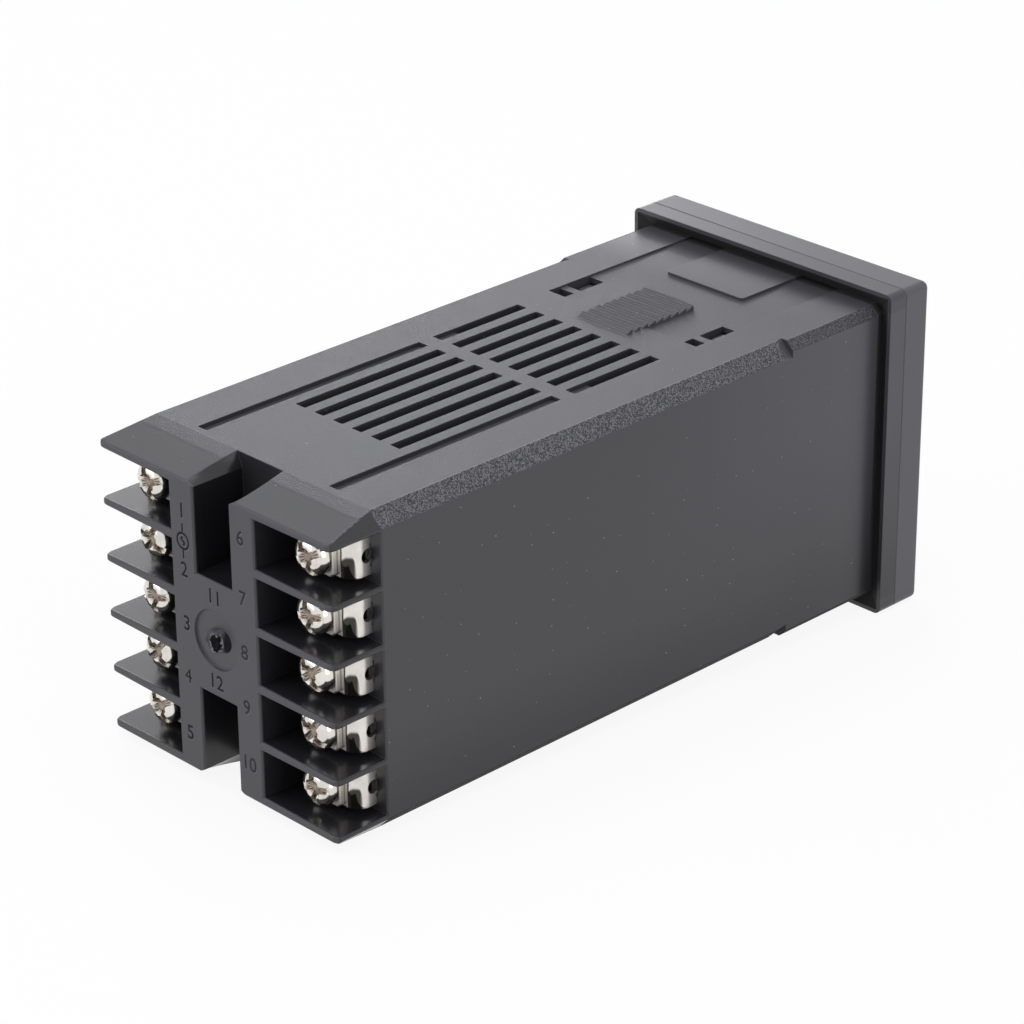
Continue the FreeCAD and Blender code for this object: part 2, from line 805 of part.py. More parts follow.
def make_relay(middle):
    """A sealed relay standing on the control board."""
    relay = box(-part_seat, relay_depth - part_seat, relay_front, relay_front + relay_length,
                middle - relay_height / 2, middle + relay_height / 2)
    return round_edges(relay, Vector(1, 0, 0), relay_edge_radius)


def make_chip():
    """The controller's processor on the control board."""
    return box(-part_seat, chip_thickness - part_seat, chip_front, chip_front + chip_size,
               -chip_size / 2, chip_size / 2)


def make_parts():
    """Every piece of the controller by the name of its file."""
    parts = {
        "case": make_case(),
        "front_bezel": make_front_bezel(),
        "display_pane": make_display_pane(),
        "display_board": make_display_board(),
        "upper_display": make_display(upper_display_bottom, displays_top - upper_display_bottom),
        "lower_display": make_display(lower_display_bottom, lower_display_height),
        "status_light_pipe": make_light_pipe(),
        "power_board": make_long_board(1),
        "control_board": make_long_board(-1),
        "power_header": make_header(1),
        "control_header": make_header(-1),
        "transformer": make_transformer(),
        "mains_capacitor": make_capacitor(mains_capacitor_radius, mains_capacitor_length,
                                          mains_capacitor_front, mains_capacitor_level),
        "output_capacitor": make_capacitor(output_capacitor_radius, output_capacitor_length,
                                           output_capacitor_front, output_capacitor_level),
        "output_relay": make_relay(relay_spacing / 2),
        "alarm_relay": make_relay(-relay_spacing / 2),
        "controller_chip": make_chip(),
    }
    for name, x in key_places():
        parts[name + "_key"] = make_key(x)
        parts[name + "_plunger"] = make_plunger(x)
        parts[name + "_switch"] = make_key_switch(x)
    for number, (side, z) in enumerate(terminal_places(), start=1):
        parts["terminal_plate_%d" % number] = make_terminal_plate(side, z)
        parts["terminal_clamp_%d" % number] = make_terminal_clamp(side, z)
        parts["terminal_screw_%d" % number] = make_terminal_screw(side, z)
    return parts


def main():
    os.makedirs("parts", exist_ok=True)
    parts = make_parts()
    for name, shape in parts.items():
        shape.exportStep("parts/%s.step" % name)
    box_all = Part.makeCompound(list(parts.values())).BoundBox
    sizes = (box_all.XLength, box_all.YLength, box_all.ZLength)
    print("%d pieces, %.1f x %.1f x %.1f mm" % ((len(parts),) + sizes))


main()
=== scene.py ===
"""The looks of a square PID temperature controller, lying on a pale floor and seen from its terminals.

Everything is in metres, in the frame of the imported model: +Y runs back to the terminals and +Z is up.
"""
import math

import bmesh
import bpy
from bpy.props import FloatProperty, FloatVectorProperty, IntProperty, PointerProperty
from mathutils import Matrix, Vector


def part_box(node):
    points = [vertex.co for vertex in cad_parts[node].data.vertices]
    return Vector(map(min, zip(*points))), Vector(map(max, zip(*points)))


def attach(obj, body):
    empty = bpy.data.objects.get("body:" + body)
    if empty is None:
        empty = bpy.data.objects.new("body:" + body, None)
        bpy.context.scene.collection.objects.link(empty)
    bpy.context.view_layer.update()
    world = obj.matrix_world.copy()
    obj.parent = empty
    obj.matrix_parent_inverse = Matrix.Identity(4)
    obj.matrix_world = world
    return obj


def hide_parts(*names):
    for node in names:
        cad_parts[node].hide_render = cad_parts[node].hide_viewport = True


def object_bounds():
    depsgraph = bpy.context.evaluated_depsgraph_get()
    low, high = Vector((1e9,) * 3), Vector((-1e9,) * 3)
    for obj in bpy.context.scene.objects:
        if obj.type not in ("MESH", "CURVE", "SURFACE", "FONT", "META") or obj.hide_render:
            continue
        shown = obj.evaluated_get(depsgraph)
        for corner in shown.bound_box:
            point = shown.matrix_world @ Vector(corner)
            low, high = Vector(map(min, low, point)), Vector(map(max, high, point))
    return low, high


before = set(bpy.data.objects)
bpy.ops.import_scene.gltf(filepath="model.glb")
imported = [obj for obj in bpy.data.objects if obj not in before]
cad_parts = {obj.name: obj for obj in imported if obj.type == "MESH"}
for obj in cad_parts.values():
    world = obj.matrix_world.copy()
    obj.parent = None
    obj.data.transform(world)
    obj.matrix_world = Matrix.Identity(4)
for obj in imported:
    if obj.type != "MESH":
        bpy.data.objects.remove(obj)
cad_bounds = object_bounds()

bl_info = {
    "name": "Panel temperature controller",
    "version": (1, 0, 0),
    "blender": (4, 5, 0),
    "location": "3D View > Sidebar > Controller",
    "description": "Finishes, terminal screws, marks, displays and stage of a panel temperature controller",
    "category": "Object",
}

MM = 0.001
TERMINALS = range(1, 11)
KEY_NAMES = ("set", "shift", "down", "up")
COMPONENT_SEED = 7
SHADER_TREE = "ShaderNodeTree"
GEOMETRY_TREE = "GeometryNodeTree"
FLOAT = "NodeSocketFloat"
WHOLE = "NodeSocketInt"
VECTOR = "NodeSocketVector"
SHAPE_OUT = [("Geometry", "NodeSocketGeometry")]

# The turns that the photograph shows, in degrees, from terminal 1 to terminal 10
SCREW_TURNS = (20, 65, 10, 50, 35, 28, 12, 40, 55, 8)

case_low, case_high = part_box("case")
screw_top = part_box("terminal_screw_1")[1].y
clamp_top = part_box("terminal_clamp_1")[1].y

# Places on the case that its box alone doesn't give
rear_face = case_high.y - 0.5 * MM
block_front = 91.2 * MM
side_face = 22.0 * MM
chamfer_sum = 42.1 * MM
front_chamfer_sum = 42.8 * MM
notch_start = 17.4 * MM
ramp_drop = 1.5 * MM
slot_half_width = 4.6 * MM
slot_floor_height = 8.1 * MM
seat_rim = 23.4 * MM
track_face = 21.6 * MM
teeth_middle = 24.7 * MM
teeth_half_length = 7.0 * MM
teeth_half_width = 4.7 * MM
ridge_pitch = 0.37 * MM
terminal_pitch = 2 * (side_face - 2 * MM) / 5


class ControllerPlastic(bpy.types.PropertyGroup):
    """Sizes and colours of the moulded plastic."""

    colour: FloatVectorProperty(name="Colour", description="Colour of the case's plastic", subtype="COLOR",
                                size=3, default=(0.0315, 0.0315, 0.036), min=0, max=1)
    dust_colour: FloatVectorProperty(name="Dust", description="Colour of the few specks of dust",
                                     subtype="COLOR", size=3, default=(0.26, 0.26, 0.26), min=0, max=1)
    key_colour: FloatVectorProperty(name="Keys", description="Colour of the key caps", subtype="COLOR",
                                    size=3, default=(0.26, 0.27, 0.29), min=0, max=1)
    grain: FloatProperty(name="Grain", description="Size of one grain of the matte texture", unit="LENGTH",
                         default=0.22 * MM, min=0.02 * MM, max=2 * MM, precision=5)
    speckle: FloatProperty(name="Speckle", description="Size of one pit on the eroded chamfers",
                           unit="LENGTH", default=0.19 * MM, min=0.05 * MM, max=4 * MM, precision=5)
    edge: FloatProperty(name="Edge", description="Radius that the moulded edges are softened by",
                        unit="LENGTH", default=0.12 * MM, min=0.02 * MM, max=1 * MM, precision=5)
    dust_cell: FloatProperty(name="Dust spacing", description="Width of the area that one speck may lie in",
                             unit="LENGTH", default=3.1 * MM, min=1 * MM, max=40 * MM, precision=4)


class ControllerMetal(bpy.types.PropertyGroup):
    """Sizes and colours of the plated metal and of the screws."""

    nickel: FloatVectorProperty(name="Nickel", description="Colour of the plated steel", subtype="COLOR",
                                size=3, default=(0.80, 0.765, 0.72), min=0, max=1)
    tarnish: FloatVectorProperty(name="Tarnish", description="Colour in the screws' recesses",
                                 subtype="COLOR", size=3, default=(0.36, 0.30, 0.25), min=0, max=1)
    head_height: FloatProperty(name="Head height", description="Height of a screw's head", unit="LENGTH",
                               default=1.8 * MM, min=0.5 * MM, max=5 * MM, precision=5)
    slot_width: FloatProperty(name="Slot width", description="Width of the slots across a head",
                              unit="LENGTH", default=0.95 * MM, min=0.2 * MM, max=2 * MM, precision=5)
    slot_depth: FloatProperty(name="Slot depth", description="Depth of the slots across a head",
                              unit="LENGTH", default=0.8 * MM, min=0.1 * MM, max=2 * MM, precision=5)
    thread_pitch: FloatProperty(name="Thread pitch", description="Rise of the thread in one turn",
                                unit="LENGTH", default=0.5 * MM, min=0.2 * MM, max=1.5 * MM, precision=5)


class ControllerMarks(bpy.types.PropertyGroup):
    """Sizes of the numbers beside the terminals, thin dark sheets of painted shade just over the rear face.
    """

    height: FloatProperty(name="Height", description="Height of a number", unit="LENGTH",
                          default=2.05 * MM, min=0.5 * MM, max=5 * MM, precision=5)
    stroke: FloatProperty(name="Stroke", description="Width of a drawn line", unit="LENGTH",
                          default=0.32 * MM, min=0.05 * MM, max=1 * MM, precision=5)
    proud: FloatProperty(name="Proud", description="How far a mark's skin lies over the face", unit="LENGTH",
                         default=0.02 * MM, min=0.005 * MM, max=0.2 * MM, precision=6)


class ControllerBoards(bpy.types.PropertyGroup):
    """Counts and sizes of what the boards carry."""

    digits: IntProperty(name="Digits", description="Digits in each display", default=4, min=1, max=8)
    header_pins: IntProperty(name="Header pins", description="Pins along each header", default=8,
                             min=2, max=20)
    small_parts: IntProperty(name="Small parts", description="Small components along each way of a patch",
                             default=5, min=1, max=12)


class ControllerStage(bpy.types.PropertyGroup):
    """The camera, the lamps and the floor."""

    azimuth: FloatProperty(name="Azimuth", description="Turn of the camera round the upright axis",
                           subtype="ANGLE", default=math.radians(225.98))
    elevation: FloatProperty(name="Elevation", description="Height of the camera's line of sight",
                             subtype="ANGLE", default=math.radians(25.69))
    roll: FloatProperty(name="Roll", description="Turn of the picture about its middle",
                        subtype="ANGLE", default=math.radians(-0.478))
    position: FloatVectorProperty(name="Position", description="Place of the camera", subtype="TRANSLATION",
                                  size=3, default=(-0.325117, 0.362206, 0.217693), precision=5)
    lens: FloatProperty(name="Lens", description="Focal length of the camera", unit="CAMERA", default=132.49)
    floor_colour: FloatVectorProperty(name="Floor", description="Colour of the floor", subtype="COLOR",
                                      size=3, default=(0.93, 0.93, 0.93), min=0, max=1)
    floor_white: FloatProperty(name="Floor white", description="Share of plain white in what the camera sees",
                               subtype="FACTOR", default=0.9, min=0, max=1)
    sky: FloatProperty(name="Sky", description="Strength of the even light from all round",
                       default=0.42, min=0)


# Nodes


class Graph:
    """Adds nodes to a tree. An input takes a plain value or another node's output."""

    def __init__(self, tree):
        self.tree = tree

    def feed(self, socket, value):
        if isinstance(value, bpy.types.NodeSocket):
            self.tree.links.new(value, socket)
        else:
            socket.default_value = value

    def add(self, kind, inputs=None, **settings):
        node = self.tree.nodes.new(kind)
        for name, value in settings.items():
            setattr(node, name, value)
        for key, value in (inputs or {}).items():
            self.feed(node.inputs[key], value)
        return node

    def make(self, kind, inputs=None, **settings):
        """The first output of a new node."""
        return self.add(kind, inputs, **settings).outputs[0]

    def gather(self, outputs, socket):
        """Links several outputs to a socket that takes many."""
        for output in outputs:
            self.tree.links.new(output, socket)

    def close(self, *values):
        """Ends a node group with these outputs. Returns its tree."""
        self.add("NodeGroupOutput", dict(enumerate(values)))
        return self.tree

    def maths(self, operation, *values):
        return self.make("ShaderNodeMath", dict(enumerate(values)), operation=operation)

    def times(self, product, *factors):
        for factor in factors:
            product = self.maths("MULTIPLY", product, factor)
        return product

    def plus(self, first, second):
        return self.maths("ADD", first, second)

    def minus(self, first, second):
        return self.maths("SUBTRACT", first, second)

    def line(self, value, slope, offset):
        """The value times a slope, plus an offset."""
        return self.maths("MULTIPLY_ADD", value, slope, offset)

    def less(self, value, limit):
        return self.maths("LESS_THAN", value, limit)

    def more(self, value, limit):
        return self.maths("GREATER_THAN", value, limit)

    def larger(self, first, second):
        return self.maths("MAXIMUM", first, second)

    def rest(self, mask):
        """What a mask leaves free."""
        return self.maths("SUBTRACT", 1.0, mask)

    def radius(self, first, second):
        """The length of a vector with these two parts."""
        squares = self.plus(self.maths("POWER", first, 2.0), self.maths("POWER", second, 2.0))
        return self.maths("POWER", squares, 0.5)

    def step(self, value, low, high):
        """0 below low, 1 above high, and smooth between."""
        return self.make("ShaderNodeMapRange", {0: value, 1: low, 2: high}, interpolation_type="SMOOTHSTEP")

    def mix(self, factor, first, second):
        """A colour between two."""
        return self.add("ShaderNodeMix", {0: factor, 6: first, 7: second}, data_type="RGBA").outputs[2]

    def between(self, factor, first, second):
        """A number between two."""
        return self.make("ShaderNodeMix", {0: factor, 2: first, 3: second}, data_type="FLOAT")

    def noise(self, place, scale, detail=2.0, roughness=0.5):
        return self.make("ShaderNodeTexNoise", {"Vector": place, "Scale": scale, "Detail": detail,
                                                "Roughness": roughness})

    def vector(self, x=0.0, y=0.0, z=0.0):
        return self.make("ShaderNodeCombineXYZ", {0: x, 1: y, 2: z})

    def split(self, vector):
        """A vector's three parts."""
        return self.add("ShaderNodeSeparateXYZ", {0: vector}).outputs

    def group(self, tree, inputs):
        return self.add("ShaderNodeGroup", inputs, node_tree=tree).outputs

    def swept(self, path, profile):
        """A closed bar of this profile along a path."""
        return self.make("GeometryNodeCurveToMesh", {"Curve": path, "Profile Curve": profile,
                                                     "Fill Caps": True})

    def moved(self, geometry, offset=(0, 0, 0), turn=(0, 0, 0)):
        return self.make("GeometryNodeTransform", {"Geometry": geometry, "Translation": offset,
                                                   "Rotation": turn})


def new_tree(name, kind, inputs, outputs):
    """A node tree with named inputs and outputs. Returns its graph and what its inputs give."""
    tree = bpy.data.node_groups.new(name, kind)
    for label, socket_type, value in inputs:
        socket = tree.interface.new_socket(label, in_out="INPUT", socket_type=socket_type)
        if value is not None:
            socket.default_value = value
    for label, socket_type in outputs:
        tree.interface.new_socket(label, in_out="OUTPUT", socket_type=socket_type)
    graph = Graph(tree)
    return graph, graph.add("NodeGroupInput").outputs[:len(inputs)]


def new_material(name, constants=None):
    """An empty material. Returns it, its graph, its Principled shader and its Object coordinates."""
    material = bpy.data.materials.new(name)
    material.use_nodes = True
    material.node_tree.nodes.clear()
    graph = Graph(material.node_tree)
    shader = graph.add("ShaderNodeBsdfPrincipled", constants)
    graph.add("ShaderNodeOutputMaterial", {"Surface": shader.outputs[0]})
    place = graph.add("ShaderNodeTexCoord").outputs["Object"]
    return material, graph, shader, place


def dress(graph, shader, colour, rough, normal=None):
    """Gives a shader what changes over its surface."""
    graph.feed(shader.inputs["Base Color"], colour)
    graph.feed(shader.inputs["Roughness"], rough)
    if normal is not None:
        graph.feed(shader.inputs["Normal"], normal)


def rgba(colour):
    return (colour[0], colour[1], colour[2], 1.0)


def shade(colour, factor):
    """A colour made lighter or darker."""
    return (colour[0] * factor, colour[1] * factor, colour[2] * factor, 1.0)


# Shared shader effects


def grain_group():
    """Matte grain: its height, and a tone that follows it."""
    graph, (place, density, contrast) = new_tree("Moulded grain", SHADER_TREE, [
        ("Vector", VECTOR, None), ("Grains per metre", FLOAT, 4500.0), ("Contrast", FLOAT, 0.5)],
        [("Height", FLOAT), ("Tone", FLOAT)])
    fine = graph.noise(place, density, detail=3.0, roughness=0.6)
    broad = graph.noise(place, graph.times(density, 0.013))
    uneven = graph.plus(graph.minus(fine, 0.5), graph.times(graph.minus(broad, 0.5), 0.6))
    return graph.close(fine, graph.line(uneven, contrast, 1.0))


def dust_group():
    """A mask of a few small specks, each in a cell of its own."""
    graph, (place, cell, share, radius) = new_tree("Dust specks", SHADER_TREE, [
        ("Vector", VECTOR, None), ("Cell", FLOAT, 6.5 * MM), ("Share", FLOAT, 0.35),
        ("Radius", FLOAT, 0.06 * MM)], [("Mask", FLOAT)])
    x, y, z = graph.split(place)
    cells = graph.add("ShaderNodeTexVoronoi", {
        "Vector": graph.vector(y, graph.plus(x, z)), "Scale": graph.maths("DIVIDE", 1.0, cell)},
        voronoi_dimensions="2D")
    chance = graph.add("ShaderNodeSeparateColor", {0: cells.outputs["Color"]}).outputs
    limit = graph.maths("DIVIDE", graph.times(radius, graph.plus(chance[1], 0.5)), cell)
    speck = graph.less(cells.outputs["Distance"], limit)
    return graph.close(graph.times(speck, graph.less(chance[0], share)))


def plating_group():
    """Bright plating: how bright it is from place to place, how rough, and its slight unevenness."""
    graph, (place, rough, mottle) = new_tree("Plating", SHADER_TREE, [
        ("Vector", VECTOR, None), ("Roughness", FLOAT, 0.2), ("Mottle", FLOAT, 0.06)],
        [("Tone", FLOAT), ("Roughness", FLOAT), ("Height", FLOAT)])
    spots = graph.noise(place, 2600.0, detail=3.0, roughness=0.6)
    cloud = graph.noise(place, 420.0)
    return graph.close(graph.line(cloud, 0.24, 0.88), graph.line(spots, mottle, rough), spots)


# Finishes


def softened_normal(graph, height, strength, depth, edge):
    """The surface's normal with rounded edges and a fine relief."""
    rounded = graph.add("ShaderNodeBevel", {"Radius": edge}, samples=4).outputs[0]
    return graph.make("ShaderNodeBump", {"Strength": strength, "Distance": depth, "Height": height,
                                         "Normal": rounded})


def case_plastic(plastic, grain, dust):
    """Black moulded plastic: grained top and bottom, smoother sides, eroded chamfers, glossy fins, with
    painted shade in its hollows, under its lower chamfers and low down, and painted light near the flange.
    """
    material, graph, shader, place = new_material("Case plastic")
    x, back, z = graph.split(place)
    across = graph.maths("ABSOLUTE", x)
    up = graph.maths("ABSOLUTE", z)

    # Masks of the case's faces, each with a narrow margin at its edge
    margin = 0.05 * MM
    behind_flange = graph.step(back, 0.5 * MM, 0.8 * MM)
    behind_notch = graph.more(back, notch_start)
    chamfer_foot = graph.between(behind_notch, front_chamfer_sum, chamfer_sum)
    outside = graph.step(graph.minus(graph.plus(across, up), chamfer_foot), -0.15 * MM, -0.02 * MM)
    chamfer = graph.times(behind_flange, outside)
    under = graph.times(chamfer, graph.less(z, 0.0))
    top = graph.step(up, side_face - 0.5 * MM, side_face - 0.35 * MM)
    in_block = graph.step(back, block_front - margin, block_front + margin)
    ramp_slope = -ramp_drop / (rear_face - block_front)
    ramp_height = graph.line(graph.minus(back, block_front), ramp_slope, side_face - 0.1 * MM)
    on_ramp = graph.times(in_block, graph.more(up, ramp_height))
    rear = graph.step(back, rear_face - 0.45 * MM, rear_face - 0.35 * MM)
    inside = graph.times(in_block, graph.rest(on_ramp), graph.rest(rear))
    in_slot = graph.times(inside, graph.less(across, slot_half_width))
    slot_floor = graph.times(in_slot, graph.less(up, slot_floor_height + 0.2 * MM))
    flange = graph.less(back, 0.1 * MM)
    recess = graph.times(graph.less(back, 0.2 * MM), graph.step(back, -1.75 * MM, -1.6 * MM),
                         graph.less(graph.larger(across, up), seat_rim))
    from_teeth = graph.maths("ABSOLUTE", graph.minus(back, teeth_middle))
    teeth = graph.times(graph.less(across, teeth_half_width), graph.more(up, track_face + margin),
                        graph.less(from_teeth, teeth_half_length))

    # Slow changes along the case and up its sides, which set painted light and shade and the roughness
    away = graph.step(back, 2.5 * MM, 14 * MM)
    farther = graph.step(back, 7 * MM, 17 * MM)
    near = graph.rest(graph.step(back, 4 * MM, 50 * MM))
    low = graph.rest(graph.step(z, -side_face, -6 * MM))
    raised = graph.step(z, -12 * MM, 10 * MM)

    black = plastic.colour
    texture = graph.group(grain, {0: place, 1: 1 / plastic.grain, 2: 0.9})
    coloured = graph.mix(graph.line(texture["Tone"], 0.5, 0.25), shade(black, 0.7), shade(black, 1.3))
    # Painted shade: the colour darkens towards the bottom of the case
    coloured = graph.mix(graph.times(low, 0.7), coloured, shade(black, 0.1))
    # Painted light: lighter towards the flange, more high up the sides than low down, and a little on the top
    lift = graph.between(top, graph.line(raised, 0.75, 0.15), 0.35)
    coloured = graph.mix(graph.times(near, lift), coloured, shade(black, 1.9))
    # The eroded chamfers' own speckle: dark pits on lighter plastic. In front of the notch that lighter
    # plastic is darker, as painted shade near the flange
    pits = graph.noise(place, 1 / plastic.speckle, roughness=0.65)
    bright = graph.mix(behind_notch, shade(black, 2.6), shade(black, 4.5))
    speckled = graph.mix(graph.step(pits, 0.46, 0.58), shade(black, 0.05), bright)
    coloured = graph.mix(chamfer, coloured, speckled)
    # Painted shade darkens the lower chamfers, the bays of the terminal block, the centre slot and the sunk
    # slopes behind the flange; the rear face and the teeth are made lighter
    for mask, factor in ((under, 0.25), (rear, 1.4), (teeth, 1.8), (inside, 0.62), (in_slot, 0.4),
                         (recess, 0.2)):
        coloured = graph.mix(mask, coloured, shade(black, factor))
    specks = graph.group(dust, {0: place, 1: plastic.dust_cell})[0]
    dusty = graph.times(specks, behind_flange, graph.rest(inside), graph.rest(rear))
    coloured = graph.mix(dusty, coloured, rgba(plastic.dust_colour))

    rough = graph.between(away, 0.3, graph.between(top, 0.46, 0.5))
    for mask, value in ((on_ramp, 0.36), (chamfer, 0.5), (under, 0.95), (flange, 0.36), (inside, 0.23),
                        (in_slot, graph.between(low, 0.2, 0.24)), (slot_floor, 0.04), (recess, 0.7)):
        rough = graph.between(mask, rough, value)

    coarseness = graph.between(top, 0.35, graph.between(farther, 0.03, 1.9))
    ridges = graph.maths("SINE", graph.times(back, 2 * math.pi / ridge_pitch))
    relief = graph.times(texture["Height"], coarseness)
    relief = graph.between(teeth, relief, graph.times(ridges, 1.3))
    relief = graph.between(chamfer, relief, graph.times(pits, 4.5))
    relief = graph.times(relief, graph.between(inside, 1.0, 0.08))
    normal = softened_normal(graph, relief, strength=0.6, depth=0.06 * MM, edge=plastic.edge)
    dress(graph, shader, coloured, rough, normal)
    return material


def plain_plastic(name, plastic, grain, colour, rough):
    """Moulded plastic of one colour with a fine grain."""
    material, graph, shader, place = new_material(name)
    texture = graph.group(grain, {0: place, 1: 1 / plastic.grain, 2: 0.5})
    toned = graph.mix(graph.line(texture["Tone"], 0.5, 0.25), shade(colour, 0.75), shade(colour, 1.25))
    normal = softened_normal(graph, texture["Height"], strength=0.35, depth=0.04 * MM, edge=plastic.edge)
    dress(graph, shader, toned, graph.line(texture["Height"], 0.12, rough - 0.06), normal)
    return material


def nickel_plate(name, metal, plating, rough, mottle, strength, foot_rough=0.0, bend_painted_reflection=0.0):
    """Bright nickel plate, rougher at the foot of a plate's leg and with a painted dark reflection below the
    middle of its bend.
    """
    material, graph, shader, place = new_material(name, {"Metallic": 1.0})
    tone, roughness, height = graph.group(plating, {0: place, 1: rough, 2: mottle})
    toned = graph.mix(graph.step(tone, 0.9, 1.08), shade(metal.nickel, 0.72), rgba(metal.nickel))
    bend_start = block_front + 2.0 * MM
    bend_middle = block_front + 2.73 * MM
    bend_end = block_front + 3.19 * MM
    arch_half_width = 0.5 * MM
    arch_rise = 0.25 * MM
    _, back, z = graph.split(place)
    row = graph.maths("ROUND", graph.maths("DIVIDE", z, terminal_pitch))
    rise = graph.line(row, -terminal_pitch, z)
    along = graph.maths("DIVIDE", graph.minus(back, bend_middle), arch_half_width)
    crown = graph.line(graph.maths("POWER", along, 4.0), -0.8 * MM, arch_rise)
    arch = graph.times(graph.step(graph.minus(crown, rise), -0.25 * MM, 0.25 * MM),
                       graph.step(back, bend_start, bend_start + 0.4 * MM), graph.less(back, bend_end))
    # Painted reflection: a near-black arch, mixed from the tarnish colour, stands for dark surroundings
    # mirrored in the bend
    toned = graph.mix(graph.times(arch, bend_painted_reflection), toned, shade(metal.tarnish, 0.06))
    foot = graph.rest(graph.step(back, bend_start - 0.7 * MM, bend_start + 0.1 * MM))
    normal = softened_normal(graph, height, strength, depth=0.03 * MM, edge=0.08 * MM)
    dress(graph, shader, toned, graph.plus(roughness, graph.times(foot, foot_rough)), normal)
    return material


def screw_nickel(metal, plating):
    """Nickel plate, browner in the recess and on the washer, which the screw's own place tells."""
    material, graph, shader, place = new_material("Screw nickel", {"Metallic": 1.0})
    tone, roughness, height = graph.group(plating, {0: place, 1: 0.09, 2: 0.08})
    own = graph.add("ShaderNodeAttribute", attribute_name="screw_place", attribute_type="GEOMETRY")
    x, y, high = graph.split(own.outputs["Vector"])
    sunk = graph.rest(graph.step(high, metal.head_height - 0.7 * MM, metal.head_height - 0.2 * MM))
    central = graph.rest(graph.step(graph.radius(x, y), 1.7 * MM, 2.2 * MM))
    recess = graph.times(sunk, central, graph.step(high, 0.0, 0.1 * MM))
    turn = graph.maths("ARCTAN2", y, x)
    fan = graph.line(graph.maths("SINE", graph.times(turn, 24.0)), 0.5, 0.5)
    stain = graph.mix(fan, shade(metal.tarnish, 0.25), shade(metal.tarnish, 1.5))
    toned = graph.mix(graph.step(tone, 0.9, 1.08), shade(metal.nickel, 0.78), rgba(metal.nickel))
    toned = graph.mix(recess, toned, stain)
    below = graph.rest(graph.step(high, -0.06 * MM, 0.0))
    toned = graph.mix(below, toned, shade(metal.tarnish, 0.6))
    rough = graph.plus(roughness, graph.times(graph.larger(recess, below), 0.2))
    relief = graph.line(graph.times(fan, recess), 2.0, height)
    normal = softened_normal(graph, relief, strength=0.3, depth=0.03 * MM, edge=0.07 * MM)
    dress(graph, shader, toned, rough, normal)
    return material


def torn_plastic(plastic):
    """Plain plastic on the gate's stub, with painted shade in a crater off its middle and on its flank, and a
    chipped rim.
    """
    material, graph, shader, place = new_material("Torn plastic", {"Specular IOR Level": 0.12})
    black = plastic.colour
    off_middle = 0.5 * MM
    crater_radius = 1.0 * MM
    rim_radius = 1.16 * MM
    x, _, z = graph.split(place)
    chips = graph.noise(place, 1900.0, detail=3.0, roughness=0.6)
    reach = graph.radius(graph.plus(x, off_middle), graph.times(z, 0.85))
    radius = graph.line(graph.minus(chips, 0.5), 0.5 * MM, reach)
    crater = graph.rest(graph.step(radius, crater_radius, crater_radius + 0.08 * MM))
    rim = graph.times(graph.step(radius, crater_radius - 0.06 * MM, crater_radius + 0.02 * MM),
                      graph.rest(graph.step(radius, rim_radius, rim_radius + 0.1 * MM)))
    flank = graph.rest(graph.step(x, -1.9 * MM, -1.0 * MM))
    # Painted shade: the flank towards -x and the crater off the middle are darkened as shadow, and the plain
    # part is lighter
    toned = graph.mix(flank, shade(black, 2.2), shade(black, 0.3))
    toned = graph.mix(crater, toned, shade(black, 0.03))
    toned = graph.mix(graph.times(rim, graph.step(chips, 0.5, 0.58)), toned, shade(black, 6.0))
    relief = graph.times(chips, graph.larger(rim, 0.15))
    normal = softened_normal(graph, relief, strength=0.7, depth=0.08 * MM, edge=0.05 * MM)
    dress(graph, shader, toned, graph.line(graph.larger(crater, flank), 0.45, 0.4), normal)
    return material


def painted_mark_shade(plastic):
    """Painted shade of a sunk number's floor, on a sheet just over the face, fainter in the column beside the
    side face in view.
    """
    material, graph, shader, place = new_material("Mark painted shade", {"Specular IOR Level": 0.15})
    black = plastic.colour
    shadow = graph.noise(place, 1600.0)
    faint = graph.rest(graph.step(graph.split(place)[0], -5 * MM, -3 * MM))
    deep = graph.mix(shadow, shade(black, 0.1), shade(black, 0.6))
    shallow = graph.mix(shadow, shade(black, 0.5), shade(black, 1.3))
    dress(graph, shader, graph.mix(faint, deep, shallow), graph.line(shadow, 0.2, 0.65))
    return material


def smoked_pane():
    """Polished smoked plastic over the displays."""
    material, graph, shader, place = new_material("Smoked pane", {"Transmission Weight": 1.0, "IOR": 1.49})
    haze = graph.noise(place, 90.0)
    dress(graph, shader, graph.mix(haze, (0.10, 0.10, 0.105, 1), (0.13, 0.13, 0.135, 1)),
          graph.line(haze, 0.03, 0.02))
    return material


def clear_plastic():
    """The light pipe's frosted clear plastic."""
    material, graph, shader, place = new_material("Clear plastic", {"Transmission Weight": 0.6})
    haze = graph.noise(place, 700.0)
    dress(graph, shader, graph.mix(haze, (0.70, 0.72, 0.73, 1), (0.82, 0.84, 0.85, 1)),
          graph.line(haze, 0.2, 0.15))
    return material


def circuit_board():
    """Green solder resist over copper tracks, with tinned spots."""
    material, graph, shader, place = new_material("Circuit board")
    turned = graph.make("ShaderNodeMapping", {"Vector": place, "Rotation": (0, math.radians(90), 0)})
    tracks = graph.add("ShaderNodeTexBrick", {"Vector": turned, "Scale": 260.0, "Mortar Size": 0.03,
                                              "Brick Width": 1.7, "Row Height": 0.42}).outputs["Fac"]
    weave = graph.noise(place, 900.0, detail=3.0)
    resist = graph.mix(weave, (0.010, 0.075, 0.038, 1), (0.018, 0.105, 0.055, 1))
    green = graph.mix(tracks, resist, (0.035, 0.19, 0.10, 1))
    spots = graph.add("ShaderNodeTexVoronoi", {"Vector": place, "Scale": 420.0})
    tinned = graph.less(spots.outputs["Distance"], 0.16)
    relief = graph.make("ShaderNodeBump", {"Strength": 0.4, "Distance": 0.05 * MM, "Height": tracks})
    coloured = graph.mix(tinned, green, (0.62, 0.62, 0.60, 1))
    dress(graph, shader, coloured, graph.line(weave, 0.15, 0.25), relief)
    graph.feed(shader.inputs["Metallic"], graph.times(tinned, 0.9))
    return material


